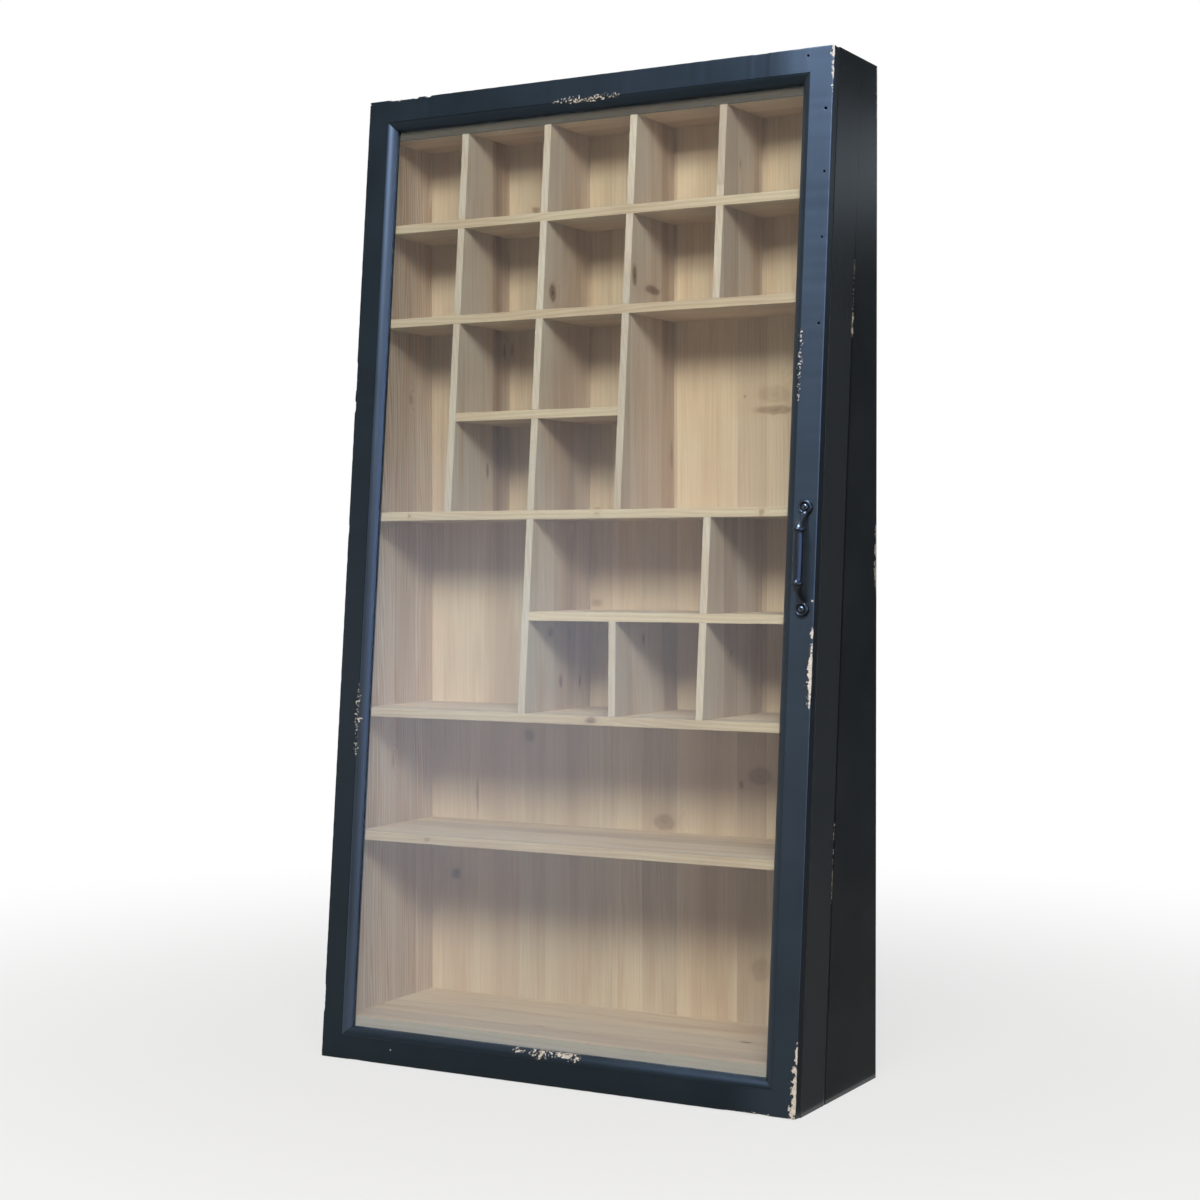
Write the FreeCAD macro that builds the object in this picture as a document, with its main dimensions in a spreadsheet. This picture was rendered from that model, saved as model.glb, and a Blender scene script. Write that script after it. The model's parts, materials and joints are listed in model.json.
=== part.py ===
import FreeCAD, Part
import math
import os
import re
import Sketcher

# Wall display cabinet with a slanted glazed door, as a parametric document in millimetres.
# X runs to the right seen from the front, +Y into the wall, Z up.
# The origin is the bottom centre of the back, on the wall plane.

SIZES = {
    "overall_width": (533, "width of case and door"),
    "overall_height": (1005, "height of case and door"),
    "depth_bottom": (200.4, "wall to door front at the bottom"),
    "depth_top": (109, "wall to door front at the top"),
    "side_thickness": (20, "side staves"),
    "end_thickness": (20, "top and bottom boards"),
    "floor_thickness": (23.5, "bare floor board"),
    "ceiling_thickness": (23, "bare ceiling board"),
    "back_thickness": (9, "back panel"),
    "back_recess": (8, "wall plane to rear of the back panel"),
    "shelf_thickness": (9, "shelves"),
    "divider_thickness": (8, "upright dividers"),
    "last_cell_extra": (5, "how much wider the right column of cells is"),
    "upper_cell_height": (91.3, "clear height of the two top rows of cells"),
    "cell_height": (93.3, "clear height of the other rows of cells"),
    "low_row_height": (119, "clear height of the last row but one"),
    "divider_lean": (4, "how far the foot of the crooked divider stands to the right"),
    "stave_width": (56, "front stave of a side, square to the front"),
    "seam_width": (2.2, "open joint between the staves at the bottom"),
    "seam_closed": (0.1, "the same joint at the top"),
    "seam_depth": (7, "depth of the open joint from the outer face"),
    "door_thickness": (12, "stiles and rails"),
    "door_gap": (0.8, "between the closed door and the case"),
    "frame_width": (24, "flat of stiles and rails"),
    "moulding_radius": (6.5, "quarter round of the sight moulding"),
    "moulding_step": (0.5, "moulding below the frame's face"),
    "lip_width": (3, "flat lip of the moulding at the sight edge"),
    "lip_thickness": (1, "lip in front of the glass"),
    "glass_thickness": (2, "pane"),
    "glass_play": (1, "pane edge to frame"),
    "tenon_length": (14, "stub tenons of the rails"),
    "tenon_thickness": (5, "stub tenons of the rails"),
    "tenon_height": (15, "stub tenons of the rails"),
    "tenon_play": (0.1, "mortise round a tenon"),
    "dowel_radius": (4, "case dowels"),
    "dowel_length": (24, "case dowels"),
    "nail_radius": (0.8, "back panel nails"),
    "nail_head_radius": (2.4, "back panel nails"),
    "nail_head_height": (0.8, "back panel nails"),
    "nail_length": (21, "back panel nails"),
    "nail_inset": (90, "nails from the side boards"),
    "hinge_inset": (110, "end of the door to the near end of a hinge"),
    "hinge_length": (60, "hinge along its pin"),
    "leaf_width": (16, "hinge leaf on the wood"),
    "leaf_thickness": (1.4, "hinge leaf"),
    "leaf_gap": (0.2, "between the closed leaves"),
    "knuckle_radius": (3, "hinge barrel"),
    "knuckle_stand": (0.4, "barrel to the side of the case"),
    "knuckle_gap": (0.3, "between knuckles along the pin"),
    "pin_radius": (1.5, "hinge pin"),
    "pin_play": (0.05, "pin in the door leaf's knuckle"),
    "pin_head_radius": (2.6, "pin head"),
    "pin_head_height": (1.5, "pin head"),
    "screw_radius": (1.4, "wood screw shank"),
    "screw_head_radius": (2.9, "countersunk head"),
    "screw_head_height": (1.3, "countersunk head"),
    "screw_length": (12, "wood screw in the case"),
    "door_screw_length": (9, "wood screw in the door"),
    "slot_width": (0.7, "screwdriver slot"),
    "slot_depth": (0.6, "screwdriver slot"),
    "screw_pitch": (20, "between the screws of a hinge leaf"),
    "handle_rise": (14, "middle of the door to the middle of the pull, along the slope"),
    "handle_eye_radius": (7.3, "screwed feet of the pull"),
    "handle_eye_thickness": (2.6, "screwed feet of the pull"),
    "handle_eye_pitch": (96, "between the screws of the pull"),
    "handle_ring_radius": (5.4, "raised ring on a foot, at the middle of its bead"),
    "handle_ring_bead": (1.5, "half thickness of the raised ring"),
    "handle_grip_length": (52, "straight grip of the pull"),
    "handle_bar_radius": (4.8, "straight grip of the pull"),
    "handle_collar_radius": (6, "thick end of the tapered neck"),
    "handle_collar_length": (2.5, "ring where the grip meets the neck"),
    "handle_neck_radius": (2.8, "thin end of the tapered neck"),
    "handle_neck_inset": (5.5, "thin end of the neck from the screw"),
    "handle_stand": (14.5, "door face to the axis of the grip"),
    "handle_screw_length": (13, "screws of the pull"),
    "magnet_radius": (5, "catch magnet"),
    "magnet_length": (9, "catch magnet"),
    "magnet_rise": (40, "middle of the pull to the magnet, along the slope"),
    "strike_radius": (7, "strike disc"),
    "strike_thickness": (0.5, "strike disc"),
    "pad_radius": (5, "bumper pads"),
    "pad_thickness": (0.5, "bumper pads"),
    "pad_inset": (40, "bumper pads from the ends of the door"),
    "hanger_fall": (80, "top of the case to the entry holes of the hangers"),
    "hanger_width": (16, "hanger plate"),
    "hanger_length": (64, "hanger plate"),
    "hanger_thickness": (1.6, "hanger plate"),
    "hanger_drop": (24, "entry hole above the lower end of the plate"),
    "entry_radius": (5, "entry hole for a wall screw's head"),
    "keyhole_radius": (2.6, "slot above the entry hole"),
    "keyhole_rise": (12, "entry hole centre to slot end centre"),
    "hanger_pocket_depth": (12, "hollow for the wall screw's head behind the plate"),
    "hanger_pocket_margin": (1, "hollow round the entry hole"),
    "hanger_screw_inset": (7, "plate screws from the ends of the plate"),
}

doc = FreeCAD.newDocument("wall_display_cabinet")
sheet = doc.addObject("Spreadsheet::Sheet", "Sizes")
for row, (alias, (size, meaning)) in enumerate(SIZES.items(), start=1):
    sheet.set(f"A{row}", meaning)
    sheet.set(f"B{row}", str(size))
    sheet.setAlias(f"B{row}", alias)
doc.recompute()

NODES = []
COLUMNS = 5
UPPER_ROWS = 2
KNUCKLES = 3
THROUGH = 4  # length of a pocket right through a wall, in wall thicknesses
X_AXIS = "vector(1; 0; 0)"
Y_AXIS = "vector(0; 1; 0)"
QUARTER_TURN = "90 deg"
HALF_TURN = "180 deg"

# Derived sizes, as formulas of the sheet's names
TILT = "atan((depth_bottom - depth_top) / overall_height)"
LIFT = f"(door_thickness * sin({TILT}))"
DOOR_LENGTH = f"((overall_height - {LIFT}) / cos({TILT}))"
HALF = "(overall_width / 2)"
INNER = f"({HALF} - side_thickness)"
BACK = "(back_recess + back_thickness)"
FLOOR = "(end_thickness + floor_thickness)"
CEILING = "(overall_height - end_thickness - ceiling_thickness)"
CELL_WIDTH = f"((2 * {INNER} - last_cell_extra - {COLUMNS - 1} * divider_thickness) / {COLUMNS})"
MOULDING_WIDTH = "(moulding_radius + lip_width)"
GLASS_FRONT = "(moulding_step + moulding_radius + lip_thickness)"
GLASS_BACK = f"({GLASS_FRONT} + glass_thickness)"
CASE_FRONT = "(door_thickness + door_gap)"
SEAM_PLANE = "(door_thickness + door_gap / 2)"
HINGE_X = f"(-{HALF} - knuckle_radius - knuckle_stand)"
SIGHT_X = f"({HALF} - frame_width)"
RIGHT_EDGE_X = f"({HALF} - side_thickness / 2)"
HANDLE_X = f"({HALF} - frame_width / 2)"
HANDLE_Z = f"({DOOR_LENGTH} / 2 + handle_rise)"
MAGNET_Z = f"({HANDLE_Z} + magnet_rise)"
HANGER_Z = "(overall_height - hanger_fall)"


def formula(text):
    """Point every size name in the text at the sheet."""
    return re.sub(r"[a-z_]+", lambda word: f"Sizes.{word[0]}" if word[0] in SIZES else word[0], text)


def number(text):
    """Present value of a formula."""
    value = sheet.evalExpression(formula(str(text)))
    return float(getattr(value, "Value", value))


def bind(thing, **formulas):
    """Bind properties of an object to formulas."""
    for prop, text in formulas.items():
        thing.setExpression(prop, formula(str(text)))


def at(x, y, z, turn=None, frame=None):
    """Placement formula: a turn (axis, angle) at a point, inside a frame if one is given."""
    axis, angle = turn or (X_AXIS, "0 deg")
    place = f"placement(vector({x}; {y}; {z}); rotation({axis}; {angle}))"
    return f"{frame} * {place}" if frame else place


# Door frame: x as in the case, y into the door from its face, z up the slope from its lower end
DOOR = at(0, f"{LIFT} * tan({TILT}) - depth_bottom", LIFT, (X_AXIS, f"-{TILT}"))
INTO_DOOR = (X_AXIS, f"-{QUARTER_TURN}")
OUT_OF_DOOR = (X_AXIS, QUARTER_TURN)


def front(level):
    """Distance from the wall to the case's slanted front at a height."""
    door_face = f"depth_bottom - (depth_bottom - depth_top) * ({level}) / overall_height"
    return f"({door_face} - {CASE_FRONT} / cos({TILT}))"


def stave_back(level):
    """Distance from the wall to the joint between the staves at a height."""
    return f"({front(level)} - stave_width / cos({TILT}))"


def seam_back(level):
    """Rear of the open joint between the staves, at the bottom or the top."""
    return f"({stave_back(level)} - {'seam_width' if level == '0' else 'seam_closed'})"


def keep(thing, label):
    """Mark an object as a sub-part that is written to a file."""
    thing.Label = label
    NODES.append(thing)
    return thing


def wedge(name, left, right, low, high, back, fore, lean="0"):
    """Board between two levels whose depth is given by functions of the height."""
    board = doc.addObject("Part::Wedge", name)
    bind(board, Xmin=f"({left}) + ({lean})", Xmax=f"({right}) + ({lean})", X2min=left, X2max=right)
    bind(board, Ymin=low, Ymax=high)
    bind(board, Zmin=back(low), Zmax=fore(low), Z2min=back(high), Z2max=fore(high))
    bind(board, Placement=at(0, 0, 0, (X_AXIS, QUARTER_TURN)))
    return board


def inner_board(name, left, right, low, high, lean="0"):
    """Board from the back panel to the slanted front."""
    return wedge(name, left, right, low, high, lambda level: BACK, front, lean)


def box(name, size, place):
    """Box with its three sizes and placement bound."""
    block = doc.addObject("Part::Box", name)
    bind(block, Length=size[0], Width=size[1], Height=size[2], Placement=place)
    return block


def cylinder(name, radius, height, place):
    """Cylinder with its sizes and placement bound."""
    rod = doc.addObject("Part::Cylinder", name)
    bind(rod, Radius=radius, Height=height, Placement=place)
    return rod


def group(name, members):
    """Several solids as one object."""
    bundle = doc.addObject("Part::Compound", name)
    bundle.Links = members
    return bundle


def fuse(name, members):
    """Union of several solids."""
    union = doc.addObject("Part::MultiFuse", name)
    union.Shapes = members
    return union


def cut(name, base, tools):
    """Base less the tools."""
    rest = doc.addObject("Part::Cut", name)
    rest.Base = base
    rest.Tool = tools[0] if len(tools) == 1 else group(f"{name}_tools", tools)
    return rest


def screw(name, place, length="screw_length"):
    """Slotted countersunk wood screw, head at the placement, shank along its z axis."""
    head = doc.addObject("Part::Cone", f"{name}_head")
    bind(head, Radius1="screw_head_radius", Radius2="screw_radius", Height="screw_head_height")
    bind(head, Placement=place)
    shank = cylinder(f"{name}_shank", "screw_radius", length, place)
    slot_place = f"{place} * {at('-screw_head_radius', '-slot_width / 2', 0)}"
    slot = box(f"{name}_slot", ("2 * screw_head_radius", "slot_width", "slot_depth"), slot_place)
    return cut(name, fuse(f"{name}_blank", [head, shank]), [slot])


def sketch_on(body, name, role):
    """Empty sketch on one of the body's own origin planes."""
    sketch = body.newObject("Sketcher::SketchObject", name)
    plane = [feature for feature in body.Origin.OriginFeatures if feature.Role == role][0]
    sketch.AttachmentSupport = [(plane, "")]
    sketch.MapMode = "FlatFace"
    return sketch


def fix_point(sketch, edge, end, x, y):
    """Tie one point of a sketch to two formulas."""
    for kind, text in (("DistanceX", x), ("DistanceY", y)):
        index = sketch.addConstraint(Sketcher.Constraint(kind, -1, 1, edge, end, number(text)))
        sketch.setExpression(f"Constraints[{index}]", formula(text))


def outline(sketch, points):
    """Closed outline of straight edges through points given as pairs of formulas."""
    spots = [FreeCAD.Vector(number(x), number(y), 0) for x, y in points]
    edges = [sketch.addGeometry(Part.LineSegment(spots[i - 1], spots[i])) for i in range(len(spots))]
    for i in range(len(spots)):
        following = edges[(i + 1) % len(edges)]
        sketch.addConstraint(Sketcher.Constraint("Coincident", edges[i], 2, following, 1))
        fix_point(sketch, edges[i], 2, *points[i])


def circle(sketch, x, y, radius):
    """Circle with centre and radius tied to formulas."""
    middle = FreeCAD.Vector(number(x), number(y), 0)
    ring = sketch.addGeometry(Part.Circle(middle, FreeCAD.Vector(0, 0, 1), number(radius)))
    fix_point(sketch, ring, 3, x, y)
    index = sketch.addConstraint(Sketcher.Constraint("Radius", ring, number(radius)))
    sketch.setExpression(f"Constraints[{index}]", formula(radius))


def pad(body, sketch, length, backwards=False):
    """Pad of a sketch, away from its plane or the other way."""
    feature = body.newObject("PartDesign::Pad", f"{sketch.Name}_pad")
    feature.Profile = sketch
    feature.Reversed = backwards
    bind(feature, Length=length)
    doc.recompute()
    return feature


def pocket(body, sketch, length):
    """Pocket symmetric about the sketch's plane; it must take something away."""
    before = body.Shape.Volume
    feature = body.newObject("PartDesign::Pocket", f"{sketch.Name}_pocket")
    feature.Profile = sketch
    feature.Midplane = True
    bind(feature, Length=length)
    doc.recompute()
    if body.Shape.Volume >= before:
        raise RuntimeError(f"{feature.Name} removed nothing")
    return feature


def revolve(body, sketch):
    """Full revolution of a sketch about its own vertical axis."""
    feature = body.newObject("PartDesign::Revolution", f"{sketch.Name}_turned")
    feature.Profile = sketch
    feature.ReferenceAxis = (sketch, ["V_Axis"])
    feature.Angle = 360
    doc.recompute()
    return feature


# Fasteners and inserts come first, because the boards are bored with them

DOWEL_LEVELS = (("low", "(end_thickness / 2)"), ("high", "(overall_height - end_thickness / 2)"))
front_dowel = [(end, f"-({front(level)} + {stave_back(level)}) / 2", level) for end, level in DOWEL_LEVELS]
rear_dowel = [(end, f"-{stave_back(level)} / 2", level) for end, level in DOWEL_LEVELS]
dowels = {}
for row_name, places in (("front", front_dowel), ("rear", rear_dowel)):
    for end, y, z in places:
        for side, wall in (("left", f"-{INNER}"), ("right", INNER)):
            place = at(f"{wall} - dowel_length / 2", y, z, (Y_AXIS, QUARTER_TURN))
            dowels[side, row_name, end] = cylinder(
                f"dowel_{side}_{row_name}_{end}", "dowel_radius", "dowel_length", place)
keep(group("case_dowels_set", list(dowels.values())), "case_dowels")

NAIL_LEVELS = (("low", f"({FLOOR} - floor_thickness / 2)"), ("high", f"({CEILING} + ceiling_thickness / 2)"))
NAIL_ROWS = (("left", f"(nail_inset - {INNER})"), ("middle", "0"), ("right", f"({INNER} - nail_inset)"))
nails = {}
for end, z in NAIL_LEVELS:
    for column, x in NAIL_ROWS:
        place = at(x, "nail_head_height - back_recess", z, (X_AXIS, QUARTER_TURN))
        head = cylinder(f"nail_head_{end}_{column}", "nail_head_radius", "nail_head_height", place)
        shank = cylinder(f"nail_shank_{end}_{column}", "nail_radius", "nail_length", place)
        nails[end, column] = fuse(f"nail_{end}_{column}", [head, shank])
keep(group("back_panel_nails_set", list(nails.values())), "back_panel_nails")

hanger_screws = {}
hanger_plates = {}
hanger_hollows = {}
for side, x in (("left", f"-{RIGHT_EDGE_X}"), ("right", RIGHT_EDGE_X)):
    plate_foot = f"({HANGER_Z} - hanger_drop)"
    screws = []
    for end, z in (("low", f"{plate_foot} + hanger_screw_inset"),
                   ("high", f"{plate_foot} + hanger_length - hanger_screw_inset")):
        screws.append(screw(f"hanger_screw_{side}_{end}", at(x, 0, z, (X_AXIS, QUARTER_TURN))))
    hanger_screws[side] = screws
    body = doc.addObject("PartDesign::Body", f"hanger_body_{side}")
    blank = sketch_on(body, f"hanger_outline_{side}", "XZ_Plane")
    outline(blank, [("-hanger_width / 2", "-hanger_drop"), ("hanger_width / 2", "-hanger_drop"),
                    ("hanger_width / 2", "hanger_length - hanger_drop"),
                    ("-hanger_width / 2", "hanger_length - hanger_drop")])
    pad(body, blank, "hanger_thickness")
    for part_name, shape in (("entry", "round"), ("slot", "straight"), ("seat", "round end")):
        opening = sketch_on(body, f"hanger_{part_name}_{side}", "XZ_Plane")
        if shape == "round":
            circle(opening, "0", "0", "entry_radius")
        elif shape == "straight":
            outline(opening, [("-keyhole_radius", "0"), ("keyhole_radius", "0"),
                              ("keyhole_radius", "keyhole_rise"), ("-keyhole_radius", "keyhole_rise")])
        else:
            circle(opening, "0", "keyhole_rise", "keyhole_radius")
        pocket(body, opening, f"{THROUGH} * hanger_thickness")
    bind(body, Placement=at(x, 0, HANGER_Z))
    hanger_plates[side] = cut(f"hanger_plate_{side}", body, screws)
    recess = box(f"hanger_recess_{side}", ("hanger_width", "hanger_thickness", "hanger_length"),
                 at(f"{x} - hanger_width / 2", "-hanger_thickness", plate_foot))
    hollow_half = "(entry_radius + hanger_pocket_margin)"
    hollow = box(f"hanger_hollow_{side}",
                 (f"2 * {hollow_half}", "hanger_pocket_depth", f"keyhole_rise + 2 * {hollow_half}"),
                 at(f"{x} - {hollow_half}", "-hanger_pocket_depth", f"{HANGER_Z} - {hollow_half}"))
    hanger_hollows[side] = [recess, hollow]
keep(group("hanger_plates_set", list(hanger_plates.values())), "hanger_plates")
keep(group("hanger_screws_set", hanger_screws["left"] + hanger_screws["right"]), "hanger_screws")

# Hinges, drawn in the door frame with the pin line on the plane midway between door and case
HINGE_FEET = (("low", "hinge_inset"), ("high", f"({DOOR_LENGTH} - hinge_inset - hinge_length)"))
KNUCKLE = f"(hinge_length / {KNUCKLES})"
case_leaves = []
door_leaves = []
pins = []
case_hinge_screws = []
door_hinge_screws = []
case_mortises = []
door_mortises = []
for end, foot in HINGE_FEET:
    pin_place = at(HINGE_X, SEAM_PLANE, foot, None, DOOR)
    shaft = cylinder(f"pin_shaft_{end}", "pin_radius", "hinge_length", pin_place)
    caps = [cylinder(f"pin_cap_{end}_{tip}", "pin_head_radius", "pin_head_height",
                     at(HINGE_X, SEAM_PLANE, z, None, DOOR))
            for tip, z in (("low", f"{foot} - pin_head_height"), ("high", f"{foot} + hinge_length"))]
    pins.append(fuse(f"hinge_pin_{end}", [shaft] + caps))
    for owner, knuckles, bore, leaf_y, facing, leaves, screws, mortises, reach in (
            ("case", (("low", "0", KNUCKLE), ("high", f"2 * {KNUCKLE}", KNUCKLE)), "pin_radius",
             f"({SEAM_PLANE} + leaf_gap / 2)", INTO_DOOR, case_leaves, case_hinge_screws, case_mortises,
             "screw_length"),
            ("door", (("mid", f"{KNUCKLE} + knuckle_gap", f"{KNUCKLE} - 2 * knuckle_gap"),),
             "pin_radius + pin_play", f"({SEAM_PLANE} - leaf_gap / 2 - leaf_thickness)", OUT_OF_DOOR,
             door_leaves, door_hinge_screws, door_mortises, "door_screw_length")):
        tag = f"{owner}_{end}"
        plate = box(f"leaf_plate_{tag}", ("leaf_width", "leaf_thickness", "hinge_length"),
                    at(f"-{HALF}", leaf_y, foot, None, DOOR))
        barrels = []
        bores = []
        for knuckle, start, length in knuckles:
            base_z = f"{foot} + {start}"
            barrels.append(cylinder(f"barrel_{tag}_{knuckle}", "knuckle_radius", length,
                                    at(HINGE_X, SEAM_PLANE, base_z, None, DOOR)))
            barrels.append(box(f"web_{tag}_{knuckle}", (f"-{HALF} - {HINGE_X}", "leaf_thickness", length),
                               at(HINGE_X, leaf_y, base_z, None, DOOR)))
            bores.append(cylinder(f"bore_{tag}_{knuckle}", bore, length,
                                  at(HINGE_X, SEAM_PLANE, base_z, None, DOOR)))
        holes = []
        screw_face = f"{leaf_y} + leaf_thickness" if owner == "door" else leaf_y
        for step in (-1, 0, 1):
            place = at(f"(-{HALF} + leaf_width / 2)", screw_face,
                       f"{foot} + hinge_length / 2 + {step} * screw_pitch", facing, DOOR)
            holes.append(screw(f"hinge_screw_{tag}_{step + 2}", place, reach))
        leaves.append(cut(f"hinge_leaf_{tag}", fuse(f"leaf_blank_{tag}", [plate] + barrels), bores + holes))
        screws.extend(holes)
        mortises.append(plate)
keep(group("case_hinge_leaves_set", case_leaves), "case_hinge_leaves")
keep(group("door_hinge_leaves_set", door_leaves), "door_hinge_leaves")
keep(group("hinge_pins_set", pins), "hinge_pins")
keep(group("case_hinge_screws_set", case_hinge_screws), "case_hinge_screws")
keep(group("door_hinge_screws_set", door_hinge_screws), "door_hinge_screws")

# Magnet catch and bumpers, hidden between the right stile and the right side
magnet = keep(cylinder("magnet", "magnet_radius", "magnet_length",
                       at(RIGHT_EDGE_X, CASE_FRONT, MAGNET_Z, INTO_DOOR, DOOR)), "catch_magnet")
strike_screw = screw("strike_screw_blank", at(RIGHT_EDGE_X, "door_thickness + strike_thickness", MAGNET_Z,
                                              OUT_OF_DOOR, DOOR), "door_screw_length")
keep(strike_screw, "strike_screw")
strike = cylinder("strike_blank", "strike_radius", "strike_thickness",
                  at(RIGHT_EDGE_X, "door_thickness", MAGNET_Z, INTO_DOOR, DOOR))
keep(cut("strike", strike, [strike_screw]), "strike_disc")
pads = [cylinder(f"pad_{end}", "pad_radius", "pad_thickness",
                 at(RIGHT_EDGE_X, CASE_FRONT, along, OUT_OF_DOOR, DOOR))
        for end, along in (("low", "pad_inset"), ("high", f"{DOOR_LENGTH} - pad_inset"))]
keep(group("bumper_pads_set", pads), "bumper_pads")

# Sides: a front stave of even width and a tapered rear stave
SIDES = (("left", f"-{HALF}", f"-{INNER}", f"-{HALF}", f"-{HALF} + seam_depth"),
         ("right", INNER, HALF, f"{HALF} - seam_depth", HALF))
for side, left, right, seam_left, seam_right in SIDES:
    fore_stave = wedge(f"fore_stave_{side}", left, right, "0", "overall_height", stave_back, front)
    fore_tools = [dowels[side, "front", "low"], dowels[side, "front", "high"]]
    fore_tools += case_mortises + case_hinge_screws if side == "left" else [magnet]
    keep(cut(f"fore_stave_cut_{side}", fore_stave, fore_tools), f"side_{side}_front_stave")
    rear_stave = wedge(f"rear_stave_{side}", left, right, "0", "overall_height", lambda level: "0", stave_back)
    seam = wedge(f"seam_{side}", seam_left, seam_right, "0", "overall_height", seam_back, stave_back)
    rear_tools = [seam, dowels[side, "rear", "low"], dowels[side, "rear", "high"]]
    rear_tools += hanger_hollows[side] + hanger_screws[side]
    keep(cut(f"rear_stave_cut_{side}", rear_stave, rear_tools), f"side_{side}_rear_stave")

# Top, bottom, ceiling, floor and back
for name, end, low, high in (("bottom_board", "low", "0", "end_thickness"),
                             ("top_board", "high", "overall_height - end_thickness", "overall_height")):
    blank = wedge(f"{name}_blank", f"-{INNER}", INNER, low, high, lambda level: "0", front)
    keep(cut(f"{name}_cut", blank, [rod for key, rod in dowels.items() if key[2] == end]), name)
for name, end, low, high in (("floor_board", "low", "end_thickness", FLOOR),
                             ("ceiling_board", "high", CEILING, "overall_height - end_thickness")):
    blank = inner_board(f"{name}_blank", f"-{INNER}", INNER, low, high)
    keep(cut(f"{name}_cut", blank, [nail for key, nail in nails.items() if key[0] == end]), name)
panel = box("panel", (f"2 * {INNER}", "back_thickness", "overall_height - 2 * end_thickness"),
            at(f"-{INNER}", f"-{BACK}", "end_thickness"))
keep(cut("panel_cut", panel, list(nails.values())), "back_panel")


# Shelves are counted from the ceiling down, dividers from the left
def shelf_low(count):
    """Underside of a shelf; 0 is the ceiling, 7 the shelf over the bottom row."""
    if count == 7:
        return f"({shelf_low(6)} - low_row_height - shelf_thickness)"
    upper = min(count, UPPER_ROWS)
    clear = f"{upper} * upper_cell_height + {count - upper} * cell_height"
    return f"({CEILING} - ({clear}) - {count} * shelf_thickness)"


def shelf_top(count):
    """Upper face of a shelf."""
    return f"({shelf_low(count)} + shelf_thickness)"


def divider_left(count):
    """Left face of a divider."""
    return f"(-{INNER} + {count} * {CELL_WIDTH} + {count - 1} * divider_thickness)"


def divider_right(count):
    """Right face of a divider; 0 is the left side."""
    return f"({divider_left(count)} + divider_thickness)" if count else f"-{INNER}"


SHELVES = {
    1: (f"-{INNER}", INNER),
    2: (f"-{INNER}", INNER),
    3: (divider_right(1), divider_left(3)),
    4: (f"-{INNER}", INNER),
    5: (divider_right(2), INNER),
    6: (f"-{INNER}", INNER),
    7: (f"-{INNER}", INNER),
}
for count, (left, right) in SHELVES.items():
    keep(inner_board(f"board_{count}", left, right, shelf_low(count), shelf_top(count)), f"shelf_{count}")

# Each divider: its column, the shelf it stands on and the shelf over it
DIVIDERS = [(column, 1, 0) for column in range(1, COLUMNS)]
DIVIDERS += [(column, 2, 1) for column in range(1, COLUMNS)]
DIVIDERS += [(1, 4, 2), (3, 4, 2), (2, 3, 2), (2, 4, 3)]
DIVIDERS += [(2, 6, 4), (4, 5, 4), (3, 6, 5), (4, 6, 5)]
CROOKED = (3, 6, 5)
for column, foot, head in DIVIDERS:
    name = f"divider_{column}_shelf_{head}_to_{foot}"
    lean = "divider_lean" if (column, foot, head) == CROOKED else "0"
    keep(inner_board(f"{name}_board", divider_left(column), divider_right(column),
                     shelf_top(foot), shelf_low(head), lean), name)

# Door frame: stiles run through, rails have stub tenons
RAILS = (("bottom", "0"), ("top", f"({DOOR_LENGTH} - frame_width)"))
TENON_SIDE = "((frame_width - tenon_height) / 2)"
TENON_DEEP = "((door_thickness - tenon_thickness) / 2)"
mortises = {"left": [], "right": []}
for end, foot in RAILS:
    pieces = [box(f"rail_bar_{end}", (f"2 * {SIGHT_X}", "door_thickness", "frame_width"),
                  at(f"-{SIGHT_X}", 0, foot, None, DOOR))]
    for side, tenon_x, mortise_x in (
            ("left", f"-{SIGHT_X} - tenon_length", f"-{SIGHT_X} - tenon_length - tenon_play"),
            ("right", SIGHT_X, SIGHT_X)):
        pieces.append(box(f"tenon_{end}_{side}", ("tenon_length", "tenon_thickness", "tenon_height"),
                          at(tenon_x, TENON_DEEP, f"{foot} + {TENON_SIDE}", None, DOOR)))
        mortises[side].append(box(
            f"mortise_{end}_{side}",
            ("tenon_length + tenon_play", "tenon_thickness + 2 * tenon_play", "tenon_height + 2 * tenon_play"),
            at(mortise_x, f"{TENON_DEEP} - tenon_play", f"{foot} + {TENON_SIDE} - tenon_play", None, DOOR)))
    keep(fuse(f"rail_{end}", pieces), f"door_rail_{end}")

handle_screws = [
    screw(f"handle_screw_{end}", at(HANDLE_X, "-handle_eye_thickness",
                                    f"{HANDLE_Z} + {sign} * handle_eye_pitch / 2", INTO_DOOR, DOOR),
          "handle_screw_length")
    for end, sign in (("low", -1), ("high", 1))]
keep(group("handle_screws_set", handle_screws), "handle_screws")
for side, x, fittings in (("left", f"-{HALF}", door_mortises + door_hinge_screws),
                          ("right", SIGHT_X, [strike_screw] + handle_screws)):
    stile = box(f"stile_{side}", ("frame_width", "door_thickness", DOOR_LENGTH), at(x, 0, 0, None, DOOR))
    keep(cut(f"stile_cut_{side}", stile, mortises[side] + fittings), f"door_stile_{side}")

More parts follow.
